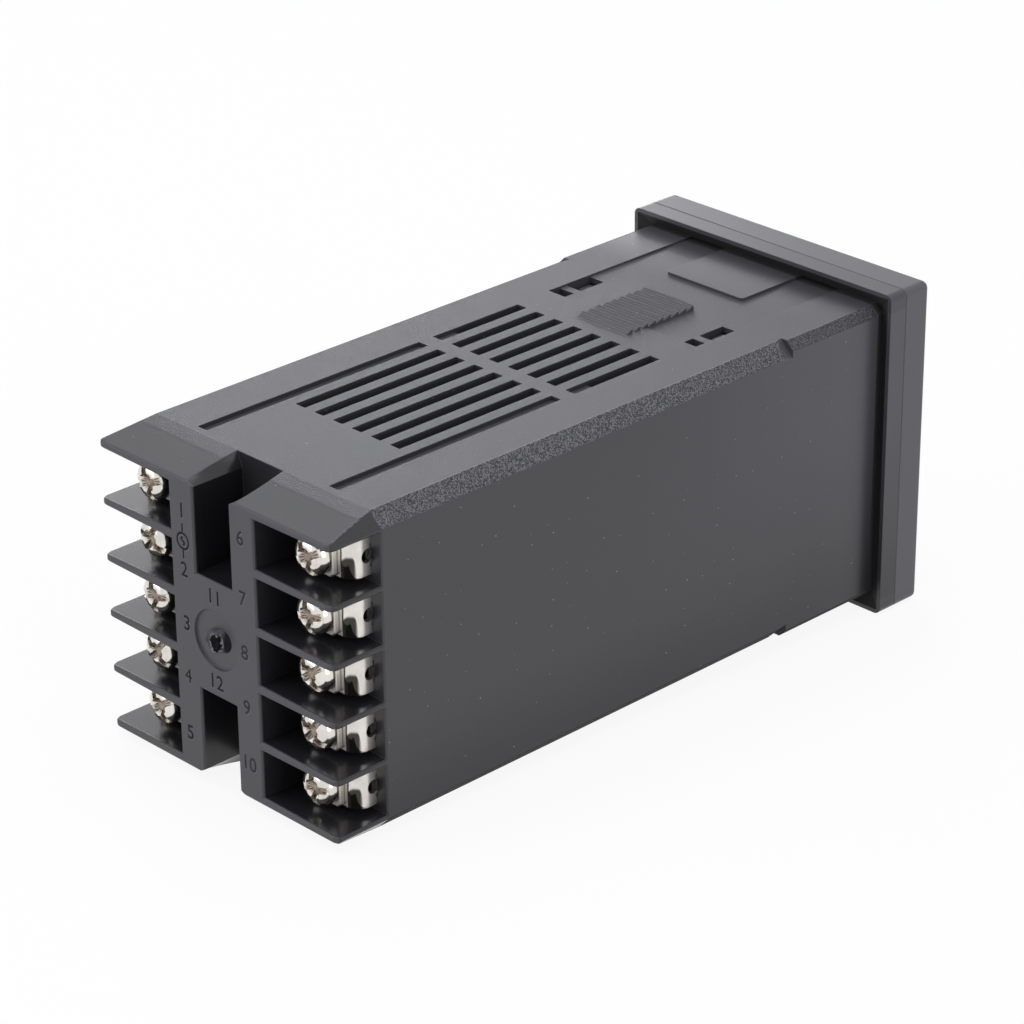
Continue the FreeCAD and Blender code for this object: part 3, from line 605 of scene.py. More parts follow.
def transformer_finish():
    """Dark ferrite at the core's height and yellow tape round the winding."""
    low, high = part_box("transformer")
    core_half = 2.5 * MM
    material, graph, shader, place = new_material("Core and winding")
    offset = graph.maths("ABSOLUTE", graph.minus(graph.split(place)[0], (low.x + high.x) / 2))
    tape = graph.step(offset, core_half - 0.02 * MM, core_half + 0.02 * MM)
    layers = graph.add("ShaderNodeTexWave", {"Vector": place, "Scale": 380.0, "Distortion": 0.6},
                       bands_direction="Y").outputs["Fac"]
    grit = graph.noise(place, 1500.0, detail=3.0)
    yellow = graph.mix(layers, (0.62, 0.40, 0.05, 1), (0.78, 0.55, 0.10, 1))
    ferrite = graph.mix(grit, (0.018, 0.018, 0.020, 1), (0.05, 0.05, 0.052, 1))
    rough = graph.between(tape, graph.line(grit, 0.2, 0.45), 0.3)
    dress(graph, shader, graph.mix(tape, ferrite, yellow), rough)
    return material


def grained(name, dark, light, scale, rough, metallic=0.0):
    """A finish of two near colours that change over the surface."""
    material, graph, shader, place = new_material(name, {"Metallic": metallic})
    change = graph.noise(place, scale, detail=3.0, roughness=0.6)
    relief = graph.make("ShaderNodeBump", {"Strength": 0.25, "Distance": 0.03 * MM, "Height": change})
    toned = graph.mix(change, rgba(dark), rgba(light))
    dress(graph, shader, toned, graph.line(change, 0.16, rough - 0.08), relief)
    return material


def finish_nodes(material, *names):
    """Gives CAD nodes their material."""
    for name in names:
        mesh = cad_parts[name].data
        mesh.materials.clear()
        mesh.materials.append(material)


# Meshes


def in_scene(name, data):
    """A new object in the scene."""
    thing = bpy.data.objects.new(name, data)
    bpy.context.scene.collection.objects.link(thing)
    return thing


def mesh_from(work, name):
    """A mesh of its own from finished mesh work."""
    mesh = bpy.data.meshes.new(name)
    work.to_mesh(mesh)
    work.free()
    return mesh


def link_piece(name, mesh, body, material=None, smooth_angle=math.radians(35)):
    """Puts a finished mesh in the scene, riding on its body, with its faces turned outwards."""
    work = bmesh.new()
    work.from_mesh(mesh)
    bmesh.ops.remove_doubles(work, verts=work.verts, dist=1e-7)
    bmesh.ops.recalc_face_normals(work, faces=work.faces)
    work.to_mesh(mesh)
    work.free()
    for face in mesh.polygons:
        face.use_smooth = True
    mesh.set_sharp_from_angle(angle=smooth_angle)
    if material is not None:
        mesh.materials.clear()
        mesh.materials.append(material)
    piece = in_scene(name, mesh)
    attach(piece, body)
    return piece


def end_tree(graph, geometry, material):
    """Ends a tree in real geometry with its material."""
    real = graph.make("GeometryNodeRealizeInstances", {"Geometry": geometry})
    return graph.close(graph.make("GeometryNodeSetMaterial", {"Geometry": real, "Material": material}))


def seen_mesh(holder):
    """The plain mesh of an object as its modifiers or its curve make it."""
    return bpy.data.meshes.new_from_object(holder.evaluated_get(bpy.context.evaluated_depsgraph_get()))


def grow(tree, values):
    """The plain mesh that a tree makes with these inputs, each given by its label."""
    holder = in_scene("holder", bpy.data.meshes.new("holder"))
    modifier = holder.modifiers.new("Grow", "NODES")
    modifier.node_group = tree
    for item in tree.interface.items_tree:
        if item.item_type == "SOCKET" and item.in_out == "INPUT" and item.name in values:
            modifier[item.identifier] = values[item.name]
    mesh = seen_mesh(holder)
    holder.modifiers.remove(modifier)
    bpy.data.objects.remove(holder)
    return mesh


# Terminal screws


def head_geometry(graph, radius, height):
    """A pan head: a cone whose rings are drawn out to a rounded profile."""
    roundness = 2.0 / 2.9
    cone = graph.make("GeometryNodeMeshCone", {"Vertices": 72, "Side Segments": 20, "Radius Top": 0.0,
                                               "Radius Bottom": radius, "Depth": height})
    x, y, _ = graph.split(graph.make("GeometryNodeInputPosition"))
    flat = graph.vector(x, y)
    reach = graph.add("ShaderNodeVectorMath", {0: flat}, operation="LENGTH").outputs["Value"]
    way = graph.make("ShaderNodeVectorMath", {0: flat}, operation="NORMALIZE")
    angle = graph.times(graph.maths("DIVIDE", reach, radius), math.pi / 2)
    ring = graph.times(radius, graph.maths("POWER", graph.maths("SINE", angle), roundness))
    cosine = graph.larger(graph.maths("COSINE", angle), 0.0)
    rise = graph.vector(z=graph.times(height, graph.maths("POWER", cosine, roundness)))
    sideways = graph.make("ShaderNodeVectorMath", {0: way, "Scale": ring}, operation="SCALE")
    target = graph.make("ShaderNodeVectorMath", {0: sideways, 1: rise}, operation="ADD")
    return graph.make("GeometryNodeSetPosition", {"Geometry": cone, "Position": target})


def screw_tree(material):
    """A terminal screw with a slotted cross recess, its thread and the split washer on its shank."""
    graph, sizes = new_tree("Terminal screw", GEOMETRY_TREE, [
        ("Head radius", FLOAT, 2.7 * MM), ("Head height", FLOAT, 1.8 * MM),
        ("Slot width", FLOAT, 0.85 * MM), ("Slot depth", FLOAT, 0.8 * MM),
        ("Thread radius", FLOAT, 1.5 * MM), ("Thread pitch", FLOAT, 0.5 * MM),
        ("Shank length", FLOAT, 4.1 * MM), ("Washer thickness", FLOAT, 0.5 * MM),
        ("Turn", FLOAT, 0.0), ("Seat", VECTOR, (0, 0, 0))], SHAPE_OUT)
    head_radius, head_height, slot_width, slot_depth, thread_radius, pitch, shank, washer, turn, seat = sizes

    head = head_geometry(graph, head_radius, head_height)
    slot_size = graph.vector(graph.times(head_radius, 3.0), slot_width, graph.times(slot_depth, 2.0))
    slot = graph.make("GeometryNodeMeshCube", {"Size": slot_size})
    top = graph.vector(z=head_height)
    socket_depth = 1.25 * MM
    socket = graph.make("GeometryNodeMeshCone", {"Vertices": 8, "Radius Top": 1.5 * MM,
                                                 "Radius Bottom": 0.35 * MM, "Depth": socket_depth})
    socket_floor = graph.vector(z=graph.minus(head_height, socket_depth - 0.05 * MM))
    cut = graph.add("GeometryNodeMeshBoolean", {"Mesh 1": head}, operation="DIFFERENCE", solver="EXACT")
    tools = (graph.moved(slot, top), graph.moved(slot, top, (0, 0, math.pi / 2)),
             graph.moved(socket, socket_floor))
    graph.gather(tools, cut.inputs["Mesh 2"])

    core_radius = graph.times(thread_radius, 0.84)
    core = graph.make("GeometryNodeMeshCylinder", {"Vertices": 28, "Radius": core_radius, "Depth": shank})
    core = graph.moved(core, graph.vector(z=graph.times(shank, -0.5)))
    threaded = graph.times(shank, 0.9)
    helix = graph.make("GeometryNodeCurveSpiral", {
        "Resolution": 20, "Rotations": graph.maths("DIVIDE", threaded, pitch), "Start Radius": core_radius,
        "End Radius": core_radius, "Height": threaded})
    thread_depth = graph.minus(thread_radius, core_radius)
    ridge = graph.make("GeometryNodeCurvePrimitiveCircle", {"Resolution": 6, "Radius": thread_depth})
    thread = graph.swept(helix, ridge)
    thread = graph.moved(thread, graph.vector(z=graph.times(shank, -0.97)))

    ring_radius = 2.02 * MM
    ring_width = 0.92 * MM
    arc = graph.add("GeometryNodeCurveArc", {
        "Resolution": 56, "Radius": ring_radius, "Start Angle": 0.3,
        "Sweep Angle": math.radians(343)}).outputs["Curve"]
    section = graph.make("GeometryNodeCurvePrimitiveQuadrilateral", {
        "Width": ring_width, "Height": graph.times(washer, 0.92)})
    ring = graph.moved(graph.swept(arc, section), graph.vector(z=graph.times(washer, -0.5)))

    whole = graph.add("GeometryNodeJoinGeometry")
    graph.gather((cut.outputs[0], core, thread, ring), whole.inputs[0])
    place = graph.make("GeometryNodeInputPosition")
    noted = graph.make("GeometryNodeStoreNamedAttribute", {
        "Geometry": whole.outputs[0], "Name": "screw_place", "Value": place},
        data_type="FLOAT_VECTOR", domain="POINT")
    turned = graph.moved(noted, turn=graph.vector(z=turn))
    return end_tree(graph, graph.moved(turned, seat, (-math.pi / 2, 0, 0)), material)


# Marks


def ribbon(points, width, low, high, closed=False):
    """A flat line along (x, z) points, with a rectangular section from y low to y high."""
    work = bmesh.new()
    rings = []
    last = len(points) - 1
    for i, (x, z) in enumerate(points):
        ahead = Vector(points[(i + 1) % len(points)] if closed else points[min(i + 1, last)])
        behind = Vector(points[i - 1] if closed else points[max(i - 1, 0)])
        way = (ahead - behind).normalized()
        side = Vector((-way.y, way.x)) * width / 2
        corners = [(x + side.x, low, z + side.y), (x - side.x, low, z - side.y),
                   (x - side.x, high, z - side.y), (x + side.x, high, z + side.y)]
        rings.append([work.verts.new(corner) for corner in corners])
    following = rings[1:] + rings[:1] if closed else rings[1:]
    for first, second in zip(rings, following):
        for i in range(4):
            work.faces.new((first[i], first[(i + 1) % 4], second[(i + 1) % 4], second[i]))
    if not closed:
        work.faces.new(reversed(rings[0]))
        work.faces.new(rings[-1])
    return mesh_from(work, "ribbon")


def number_mesh(text, x, z, height, boldness, low, high):
    """A number standing on the rear face, read from behind, its strokes widened by the boldness."""
    cap_share = 0.72
    curve = bpy.data.curves.new("number", "FONT")
    curve.body = text
    curve.align_x = "CENTER"
    curve.align_y = "CENTER"
    curve.size = height / cap_share
    curve.offset = boldness
    curve.extrude = (high - low) / 2
    curve.resolution_u = 4
    holder = in_scene("number", curve)
    mesh = seen_mesh(holder)
    bpy.data.objects.remove(holder)
    mesh.transform(Matrix(((-1, 0, 0, x), (0, 0, 1, (low + high) / 2), (0, 1, 0, z), (0, 0, 0, 1))))
    return mesh


def joined(meshes, name):
    """One mesh from several."""
    work = bmesh.new()
    for mesh in meshes:
        work.from_mesh(mesh)
    return mesh_from(work, name)


def mark_meshes(marks, shift, widening, high):
    """The numbers beside the terminals and the supply mark between the first two, moved by a shift."""
    low = rear_face - 0.1 * MM
    aside, down = shift
    right = 5.6 * MM + aside
    left = -5.5 * MM + aside
    # Each number, its place across and its height in millimetres
    texts = [("1", right, 16.0), ("2", right, 7.8), ("3", right, 0.25), ("4", right + 0.2 * MM, -7.25),
             ("5", right + 0.35 * MM, -15.5), ("6", left, 16.0), ("7", left, 7.7), ("8", left, 0.2),
             ("9", left, -7.55), ("10", left, -15.5), ("11", aside, 5.9), ("12", 0.3 * MM + aside, -6.1)]
    meshes = []
    for text, x, row in texts:
        boldness = widening if text == "4" else 0.03 * MM + widening
        meshes.append(number_mesh(text, x, row * MM + down, marks.height, boldness, low, high))
    middle = 11.85 * MM + down
    radius = 1.08 * MM
    around = 28
    turns = [2 * math.pi * i / around for i in range(around)]
    circle = [(right + radius * math.cos(turn), middle + radius * math.sin(turn)) for turn in turns]
    wave_swing = 0.3 * MM
    wave_half = 0.55 * MM
    wave_steps = 12
    wave = [(right + wave_swing * math.sin(2 * math.pi * i / wave_steps),
             middle + wave_half * (1 - 2 * i / wave_steps)) for i in range(wave_steps + 1)]
    dashes = [((right, middle + 1.3 * MM), (right, middle + 2.4 * MM)),
              ((right, middle - 1.25 * MM), (right, middle - 2.4 * MM))]
    stroke = marks.stroke + 2 * widening
    meshes.append(ribbon(circle, stroke, low, high, closed=True))
    meshes.append(ribbon(wave, stroke, low, high))
    meshes.extend(ribbon(dash, stroke * 0.9, low, high) for dash in dashes)
    return meshes


def gate_break():
    """The torn end of the moulding gate's stub: a ragged rim round a shallow crater, which its material
    darkens with painted shade.
    """
    around = 72
    # Each ring's radius and height in millimetres, and how ragged it is
    rings = ((1.57, -0.79, 0.0), (1.50, -0.30, 0.3), (1.44, 0.02, 0.6), (1.34, 0.12, 1.0), (1.16, 0.20, 1.5),
             (1.00, 0.14, 1.2), (0.90, 0.02, 0.6), (0.50, 0.015, 0.5), (0.30, 0.08, 0.8))
    # Each wave's swing, its count round the ring and its start
    waves = ((0.55, 3, 0.7), (0.35, 7, 2.1), (0.25, 17, 0.0))
    lean = 1.1
    lean_turn = math.radians(172)
    work = bmesh.new()
    loops = []
    for radius, rise, share in rings:
        loop = []
        for i in range(around):
            turn = 2 * math.pi * i / around
            tear = sum(swing * math.sin(count * turn + start) for swing, count, start in waves)
            reach = radius * (1 + 0.07 * share * tear)
            if rise < -0.5:
                reach += lean * max(0.0, math.cos(turn - lean_turn)) ** 2
            height = rise * (1 + 0.55 * min(share, 1.0) * tear)
            loop.append(work.verts.new((reach * math.cos(turn) * MM, case_high.y + height * MM,
                                        reach * math.sin(turn) * MM)))
        loops.append(loop)
    for inner, outer in zip(loops, loops[1:]):
        for i in range(around):
            j = (i + 1) % around
            work.faces.new((inner[i], inner[j], outer[j], outer[i]))
    work.faces.new(loops[0])
    work.faces.new(reversed(loops[-1]))
    return mesh_from(work, "gate_break")


# Displays and boards


def segment_mesh(width, height, thickness):
    """The seven bars of one digit and its point, lying in the XZ plane with their faces towards -Y."""
    work = bmesh.new()
    bar = 0.17 * width
    gap = 0.05 * width
    slant = 0.12
    half_w = (width - bar) / 2
    half_h = (height - bar) / 2

    def add_bar(centre, half_length, upright):
        tip = half_length - gap
        shoulder = tip - bar / 2
        outline = [(-tip, 0), (-shoulder, bar / 2), (shoulder, bar / 2), (tip, 0), (shoulder, -bar / 2),
                   (-shoulder, -bar / 2)]
        rear = []
        front = []
        for along, across in outline:
            x, z = (across, along) if upright else (along, across)
            x += centre[0]
            z += centre[1]
            rear.append(work.verts.new((x + slant * z, 0, z)))
            front.append(work.verts.new((x + slant * z, -thickness, z)))
        work.faces.new(rear)
        work.faces.new(list(reversed(front)))
        for i in range(6):
            work.faces.new((rear[i], front[i], front[(i + 1) % 6], rear[(i + 1) % 6]))

    for z in (-half_h, 0, half_h):
        add_bar((0, z), half_w, False)
    for x in (-half_w, half_w):
        for z in (-half_h / 2, half_h / 2):
            add_bar((x, z), half_h / 2, True)
    add_bar((half_w + 1.5 * bar, -half_h), bar, True)
    return mesh_from(work, "digit")


def row_tree(name, material, shape=None):
    """A straight row of copies of a shape, or where there is none, of a square pin of a given size."""
    graph, (count, first, step, pin) = new_tree(name, GEOMETRY_TREE, [
        ("Count", WHOLE, 4), ("First", VECTOR, (0, 0, 0)), ("Step", VECTOR, (0, 0, 0)),
        ("Pin", VECTOR, (0, 0, 0))], SHAPE_OUT)
    line = graph.make("GeometryNodeMeshLine", {"Count": count, "Start Location": first, "Offset": step},
                      mode="OFFSET")
    if shape is None:
        copy = graph.make("GeometryNodeMeshCube", {"Size": pin})
    else:
        info = graph.add("GeometryNodeObjectInfo", {"Object": shape}, transform_space="ORIGINAL")
        copy = info.outputs["Geometry"]
    row = graph.make("GeometryNodeInstanceOnPoints", {"Points": line, "Instance": copy})
    return end_tree(graph, row, material)


def patch_tree(material):
    """Small box-shaped components on a grid of places, some left empty, with a fixed seed."""
    graph, (along, across, length, width, thickness, place, tilt) = new_tree(
        "Small components", GEOMETRY_TREE, [
            ("Along", WHOLE, 5), ("Across", WHOLE, 4), ("Length", FLOAT, 20 * MM), ("Width", FLOAT, 20 * MM),
            ("Thickness", FLOAT, 0.7 * MM), ("Place", VECTOR, (0, 0, 0)), ("Tilt", VECTOR, (0, 0, 0))],
        SHAPE_OUT)
    grid = graph.make("GeometryNodeMeshGrid", {"Size X": length, "Size Y": width, "Vertices X": along,
                                               "Vertices Y": across})
    keep = graph.add("FunctionNodeRandomValue", {"Probability": 0.72, "Seed": COMPONENT_SEED},
                     data_type="BOOLEAN").outputs[3]
    body = graph.make("GeometryNodeMeshCube", {"Size": graph.vector(2.0 * MM, 1.25 * MM, thickness)})
    body = graph.moved(body, graph.vector(z=graph.times(thickness, 0.5)))
    spin = graph.add("FunctionNodeRandomValue", {"Min": 0, "Max": 1, "Seed": COMPONENT_SEED + 1},
                     data_type="INT").outputs[2]
    turn = graph.vector(z=graph.times(spin, math.pi / 2))
    placed = graph.make("GeometryNodeInstanceOnPoints", {"Points": grid, "Selection": keep, "Instance": body,
                                                         "Rotation": turn})
    return end_tree(graph, graph.moved(placed, place, tilt), material)


# Operators


class CONTROLLER_OT_case(bpy.types.Operator):
    """Finish the case, the bezel and the keys in moulded plastic"""

    bl_idname = "controller.case"
    bl_label = "Case, bezel and keys"

    def execute(self, context):
        plastic = context.scene.controller_plastic
        grain = grain_group()
        finish_nodes(case_plastic(plastic, grain, dust_group()), "case")
        bezel_colour = shade(plastic.colour, 2.0)
        bezel = plain_plastic("Bezel plastic", plastic, grain, bezel_colour, rough=0.38)
        finish_nodes(bezel, "front_bezel")
        for name, colour, rough, ending in (("Key plastic", plastic.key_colour, 0.5, "_key"),
                                            ("Switch plastic", (0.02, 0.02, 0.02), 0.4, "_switch"),
                                            ("Plunger plastic", (0.35, 0.34, 0.30), 0.45, "_plunger")):
            material = plain_plastic(name, plastic, grain, colour, rough)
            finish_nodes(material, *(key + ending for key in KEY_NAMES))
        return {"FINISHED"}


class CONTROLLER_OT_gate(bpy.types.Operator):
    """Add the torn end of the gate's stub in the middle of the rear face"""

    bl_idname = "controller.gate"
    bl_label = "Gate stub"

    def execute(self, context):
        torn = torn_plastic(context.scene.controller_plastic)
        link_piece("gate_break", gate_break(), "case", torn, math.radians(60))
        return {"FINISHED"}


class CONTROLLER_OT_marks(bpy.types.Operator):
    """Lay the terminals' numbers and the supply mark on the rear face as painted shade with painted
    highlights at their rims
    """

    bl_idname = "controller.marks"
    bl_label = "Terminal numbers"

    def execute(self, context):
        marks = context.scene.controller_marks
        plastic = context.scene.controller_plastic
        rim = 0.045 * MM
        # Painted shade: dark sheets just over the face stand for the sunk strokes. Lighter copies, widened,
        # shifted and set a little lower, show at one side as painted highlights on their rims
        shaded = mark_meshes(marks, (0, 0), 0.0, rear_face + marks.proud)
        lit = mark_meshes(marks, (-2 * rim, -2 * rim), rim, rear_face + marks.proud * 0.5)
        edge = grained("Mark painted highlight", shade(plastic.colour, 1.8), shade(plastic.colour, 3.2),
                       scale=1500.0, rough=0.4)
        for name, meshes, material in (("terminal_numbers", shaded, painted_mark_shade(plastic)),
                                       ("terminal_number_edges", lit, edge)):
            link_piece(name, joined(meshes, name), "case", material)
        return {"FINISHED"}


class CONTROLLER_OT_terminals(bpy.types.Operator):
    """Finish the terminal plates and their clamp washers in bright nickel"""

    bl_idname = "controller.terminals"
    bl_label = "Terminal plates and clamps"

    def execute(self, context):
        metal = context.scene.controller_metal
        plating = plating_group()
        plate = nickel_plate("Plate nickel", metal, plating, rough=0.06, mottle=0.04, strength=0.05,
                             foot_rough=0.3, bend_painted_reflection=0.95)
        clamp = nickel_plate("Clamp nickel", metal, plating, rough=0.32, mottle=0.16, strength=0.9)
        finish_nodes(plate, *("terminal_plate_%d" % n for n in TERMINALS))
        finish_nodes(clamp, *("terminal_clamp_%d" % n for n in TERMINALS))
        return {"FINISHED"}


class CONTROLLER_OT_screws(bpy.types.Operator):
    """Make the ten terminal screws, each at its own turn"""

    bl_idname = "controller.screws"
    bl_label = "Terminal screws"

    def execute(self, context):
        metal = context.scene.controller_metal
        tree = screw_tree(screw_nickel(metal, bpy.data.node_groups["Plating"]))
        seat_y = screw_top - metal.head_height
        for n, turn in zip(TERMINALS, SCREW_TURNS):
            node = "terminal_screw_%d" % n
            low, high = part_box(node)
            middle = (low + high) / 2
            mesh = grow(tree, {
                "Head radius": (high.x - low.x) / 2, "Head height": metal.head_height,
                "Slot width": metal.slot_width, "Slot depth": metal.slot_depth,
                "Thread pitch": metal.thread_pitch, "Shank length": seat_y - low.y,
                "Washer thickness": seat_y - clamp_top, "Turn": math.radians(turn),
                "Seat": (middle.x, seat_y, middle.z)})
            screw = link_piece("detailed_screw_%d" % n, mesh, node)
            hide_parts(node)
        return {"FINISHED"}


class CONTROLLER_OT_front(bpy.types.Operator):
    """Finish the pane and put the unlit digits behind it"""

    bl_idname = "controller.front"
    bl_label = "Pane and displays"

    def execute(self, context):
        digits = context.scene.controller_boards.digits
        displays = ("upper_display", "lower_display")
        finish_nodes(smoked_pane(), "display_pane")
        finish_nodes(clear_plastic(), "status_light_pipe")
        face = grained("Display face", (0.045, 0.045, 0.05), (0.065, 0.065, 0.07), scale=900.0, rough=0.5)
        finish_nodes(face, *displays)
        segments = grained("Unlit segment", (0.30, 0.31, 0.30), (0.38, 0.39, 0.38), scale=1200.0, rough=0.4)
        for node in displays:
            low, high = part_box(node)
            pitch = (high.x - low.x) / digits
            height = (high.z - low.z) * 0.72
            shape = bpy.data.objects.new("digit", segment_mesh(height * 0.55, height, 0.05 * MM))
            tree = row_tree("Digits of " + node, segments, shape)
            first = (low.x + pitch * 0.45, low.y, (low.z + high.z) / 2)
            mesh = grow(tree, {"Count": digits, "First": first, "Step": (pitch, 0, 0)})
            bpy.data.objects.remove(shape)
            link_piece(node + "_digits", mesh, "chassis")
        return {"FINISHED"}


class CONTROLLER_OT_boards(bpy.types.Operator):
    """Finish the boards and give them their pins and small components"""

    bl_idname = "controller.boards"
    bl_label = "Boards and components"

    def execute(self, context):
        boards = context.scene.controller_boards
        finish_nodes(circuit_board(), "display_board", "power_board", "control_board")
        finish_nodes(transformer_finish(), "transformer")
        sleeve = grained("Can sleeve", (0.012, 0.018, 0.06), (0.022, 0.03, 0.09), scale=300.0, rough=0.25)
        finish_nodes(sleeve, "mains_capacitor", "output_capacitor")
        cover = grained("Relay cover", (0.02, 0.09, 0.26), (0.035, 0.13, 0.34), scale=500.0, rough=0.4)
        finish_nodes(cover, "output_relay", "alarm_relay")
        epoxy = grained("Chip epoxy", (0.014, 0.014, 0.014), (0.028, 0.028, 0.028), scale=2200.0, rough=0.55)
        finish_nodes(epoxy, "controller_chip")
        header = grained("Header plastic", (0.016, 0.016, 0.017), (0.03, 0.03, 0.031),
                         scale=1300.0, rough=0.4)
        finish_nodes(header, "power_header", "control_header")
        tinned = grained("Tinned pin", (0.52, 0.51, 0.48), (0.72, 0.71, 0.68), scale=1500.0, rough=0.3,
                         metallic=1.0)
        pins = row_tree("Pin row", tinned)
        self.add_header_pins(pins, boards.header_pins)
        self.add_chip_leads(pins, tinned)
        self.add_small_components(patch_tree(epoxy), boards.small_parts)
        return {"FINISHED"}

    def add_header_pins(self, pins, count):
        """Pin ends that stand out of each header's rear end."""
        pin = (0.64 * MM, 1.5 * MM, 0.64 * MM)
        for node in ("power_header", "control_header"):
            low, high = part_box(node)
            step = (high.z - low.z) / count
            first = ((low.x + high.x) / 2, high.y + 0.25 * MM, low.z + step / 2)
            mesh = grow(pins, {"Count": count, "First": first, "Step": (0, 0, step), "Pin": pin})
            link_piece(node + "_pins", mesh, "chassis")

    def add_chip_leads(self, pins, material):
        """The chip's leads along its four edges, lying on the board."""
        low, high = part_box("controller_chip")
        count = 11
        aside = 0.3 * MM
        lead_x = low.x + 0.25 * MM
        step = (high.y - low.y) * 0.84 / (count - 1)
        start = (high.y - low.y) * 0.08
        rows = [((lead_x, low.y + start, z), (0, step, 0), (0.2 * MM, 0.3 * MM, 1.0 * MM))
                for z in (low.z - aside, high.z + aside)]
        rows += [((lead_x, y, low.z + start), (0, 0, step), (0.2 * MM, 1.0 * MM, 0.3 * MM))
                 for y in (low.y - aside, high.y + aside)]
        meshes = [grow(pins, {"Count": count, "First": first, "Step": way, "Pin": lead})
                  for first, way, lead in rows]
        link_piece("chip_leads", joined(meshes, "chip_leads"), "chassis", material)

    def add_small_components(self, patch, count):
        """A patch of small components on the free part of each long board."""
        power_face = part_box("power_board")[0].x
        control_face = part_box("control_board")[1].x
        quarter = math.pi / 2
        for name, place, tilt in (
                ("power_components", (power_face, 74 * MM, 0), (0, -quarter, 0)),
                ("control_components", (control_face, 45 * MM, 0), (0, quarter, 0))):
            mesh = grow(patch, {"Along": count, "Across": count - 1, "Length": 26 * MM, "Width": 17 * MM,
                                "Place": place, "Tilt": tilt})
            link_piece(name, mesh, "chassis")


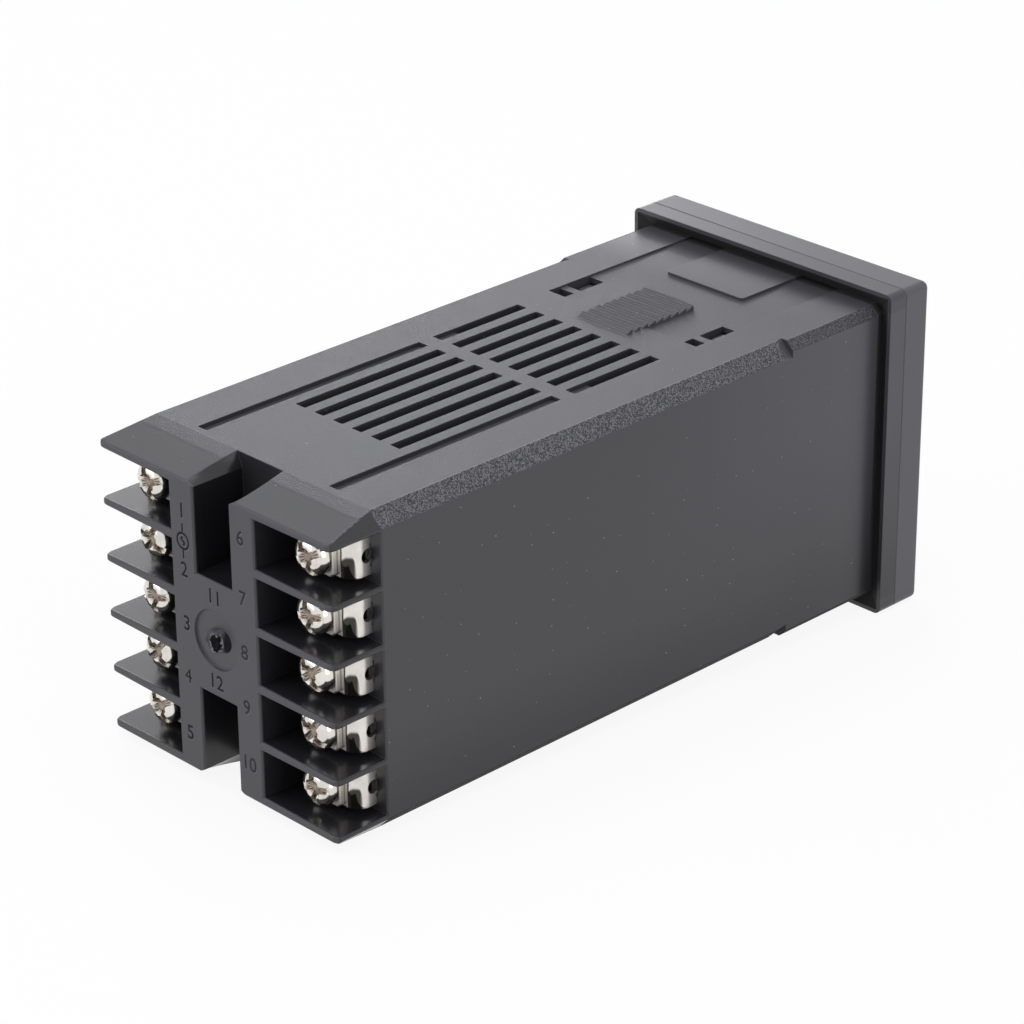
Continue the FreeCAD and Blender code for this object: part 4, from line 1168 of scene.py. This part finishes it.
class CONTROLLER_OT_stage(bpy.types.Operator):
    """Set up the floor, the lamps, the sky and the camera"""

    bl_idname = "controller.stage"
    bl_label = "Stage"

    def execute(self, context):
        stage = context.scene.controller_stage
        self.add_floor(stage)
        self.add_sky(context.scene, stage)
        self.add_lamps()
        self.add_camera(context.scene, stage)
        context.scene.view_settings.view_transform = "Standard"
        return {"FINISHED"}

    def plain_view(self, graph):
        """1 for what the camera, a reflection or a clear piece sees."""
        paths = graph.add("ShaderNodeLightPath").outputs
        indirect = graph.larger(paths["Is Glossy Ray"], paths["Is Transmission Ray"])
        return graph.larger(paths["Is Camera Ray"], indirect)

    def add_floor(self, stage):
        """A plane through the lower edges of the flange and the block, on which the object lies."""
        flange_foot = case_low.z
        slope = (-side_face - flange_foot) / block_front
        half = 3.0
        outline = ((-half, -half), (half, -half), (half, half), (-half, half))
        mesh = bpy.data.meshes.new("floor")
        mesh.from_pydata([(x, y, flange_foot + slope * y) for x, y in outline], [], [(0, 1, 2, 3)])
        material, graph, shader, place = new_material("Pale floor", {
            "Roughness": 0.9, "Specular IOR Level": 0.0})
        paper = graph.noise(place, 40.0)
        colour = stage.floor_colour
        graph.feed(shader.inputs["Base Color"], graph.mix(paper, shade(colour, 0.985), rgba(colour)))
        white = graph.make("ShaderNodeEmission", {"Color": (1, 1, 1, 1), "Strength": 1.0})
        share = graph.times(self.plain_view(graph), stage.floor_white)
        mixed = graph.make("ShaderNodeMixShader", {0: share, 1: shader.outputs[0], 2: white})
        output = next(node for node in material.node_tree.nodes if node.type == "OUTPUT_MATERIAL")
        graph.feed(output.inputs["Surface"], mixed)
        mesh.materials.append(material)
        floor = in_scene("floor", mesh)

    def add_sky(self, scene, stage):
        """Even light, white where the camera, a reflection or a clear piece sees it."""
        world = bpy.data.worlds.new("Sky")
        world.use_nodes = True
        world.node_tree.nodes.clear()
        scene.world = world
        graph = Graph(world.node_tree)
        soft = graph.make("ShaderNodeBackground", {"Color": (0.955, 0.955, 1, 1), "Strength": stage.sky})
        white = graph.make("ShaderNodeBackground", {"Color": (1, 1, 1, 1), "Strength": 1.0})
        mixed = graph.make("ShaderNodeMixShader", {0: self.plain_view(graph), 1: soft, 2: white})
        graph.add("ShaderNodeOutputWorld", {"Surface": mixed})

    def add_lamps(self):
        """A broad lamp overhead, one on each side of the camera and one behind the object for its top."""
        middle = (cad_bounds[0] + cad_bounds[1]) / 2
        for name, place, size, power in (
                ("overhead", (0.10, 0.05, 0.90), 0.80, 5.0),
                ("left_fill", (0.45, 0.85, 0.30), 0.60, 2.6),
                ("right_fill", (-0.95, 0.05, 0.30), 0.60, 2.6),
                ("top_sheen", (0.846, -0.625, 0.23), 0.35, 2.0)):
            lamp = bpy.data.lights.new(name, "AREA")
            lamp.shape = "SQUARE"
            lamp.size = size
            lamp.energy = power
            lamp.color = (0.96, 0.96, 1.0)
            holder = in_scene(name, lamp)
            holder.location = place
            holder.rotation_euler = (middle - Vector(place)).to_track_quat("-Z", "Y").to_euler()
            holder.visible_camera = False

    def add_camera(self, scene, stage):
        """The camera that saw the photograph."""
        turn, lift, roll = stage.azimuth, stage.elevation, stage.roll
        back = Vector((math.sin(turn) * math.cos(lift), -math.cos(turn) * math.cos(lift), math.sin(lift)))
        level = Vector((0, 0, 1)).cross(back).normalized()
        upright = back.cross(level)
        right = level * math.cos(roll) + upright * math.sin(roll)
        up = upright * math.cos(roll) - level * math.sin(roll)
        lens = bpy.data.cameras.new("camera")
        lens.lens = stage.lens
        lens.sensor_width = 36.0
        camera = in_scene("camera", lens)
        turned = Matrix((right, up, back)).transposed().to_4x4()
        camera.matrix_world = Matrix.Translation(stage.position) @ turned
        scene.camera = camera


class CONTROLLER_PT_panel(bpy.types.Panel):
    """The controller's sizes, colours and pieces"""

    bl_idname = "CONTROLLER_PT_panel"
    bl_label = "Temperature controller"
    bl_space_type = "VIEW_3D"
    bl_region_type = "UI"
    bl_category = "Controller"

    def draw(self, context):
        for label, group in SETTINGS:
            column = self.layout.box().column()
            settings = getattr(context.scene, label)
            for name in group.__annotations__:
                column.prop(settings, name)
        for operator in OPERATORS:
            self.layout.operator(operator.bl_idname)


SETTINGS = (
    ("controller_plastic", ControllerPlastic),
    ("controller_metal", ControllerMetal),
    ("controller_marks", ControllerMarks),
    ("controller_boards", ControllerBoards),
    ("controller_stage", ControllerStage),
)
OPERATORS = (
    CONTROLLER_OT_case,
    CONTROLLER_OT_gate,
    CONTROLLER_OT_marks,
    CONTROLLER_OT_terminals,
    CONTROLLER_OT_screws,
    CONTROLLER_OT_front,
    CONTROLLER_OT_boards,
    CONTROLLER_OT_stage,
)


def register():
    for label, group in SETTINGS:
        bpy.utils.register_class(group)
        setattr(bpy.types.Scene, label, PointerProperty(type=group))
    for operator in OPERATORS:
        bpy.utils.register_class(operator)
    bpy.utils.register_class(CONTROLLER_PT_panel)


def unregister():
    bpy.utils.unregister_class(CONTROLLER_PT_panel)
    for operator in reversed(OPERATORS):
        bpy.utils.unregister_class(operator)
    for label, group in reversed(SETTINGS):
        delattr(bpy.types.Scene, label)
        bpy.utils.unregister_class(group)


def main():
    register()
    for operator in OPERATORS:
        name = operator.bl_idname.split(".")[1]
        getattr(bpy.ops.controller, name)()


if __name__ == "__main__":
    main()
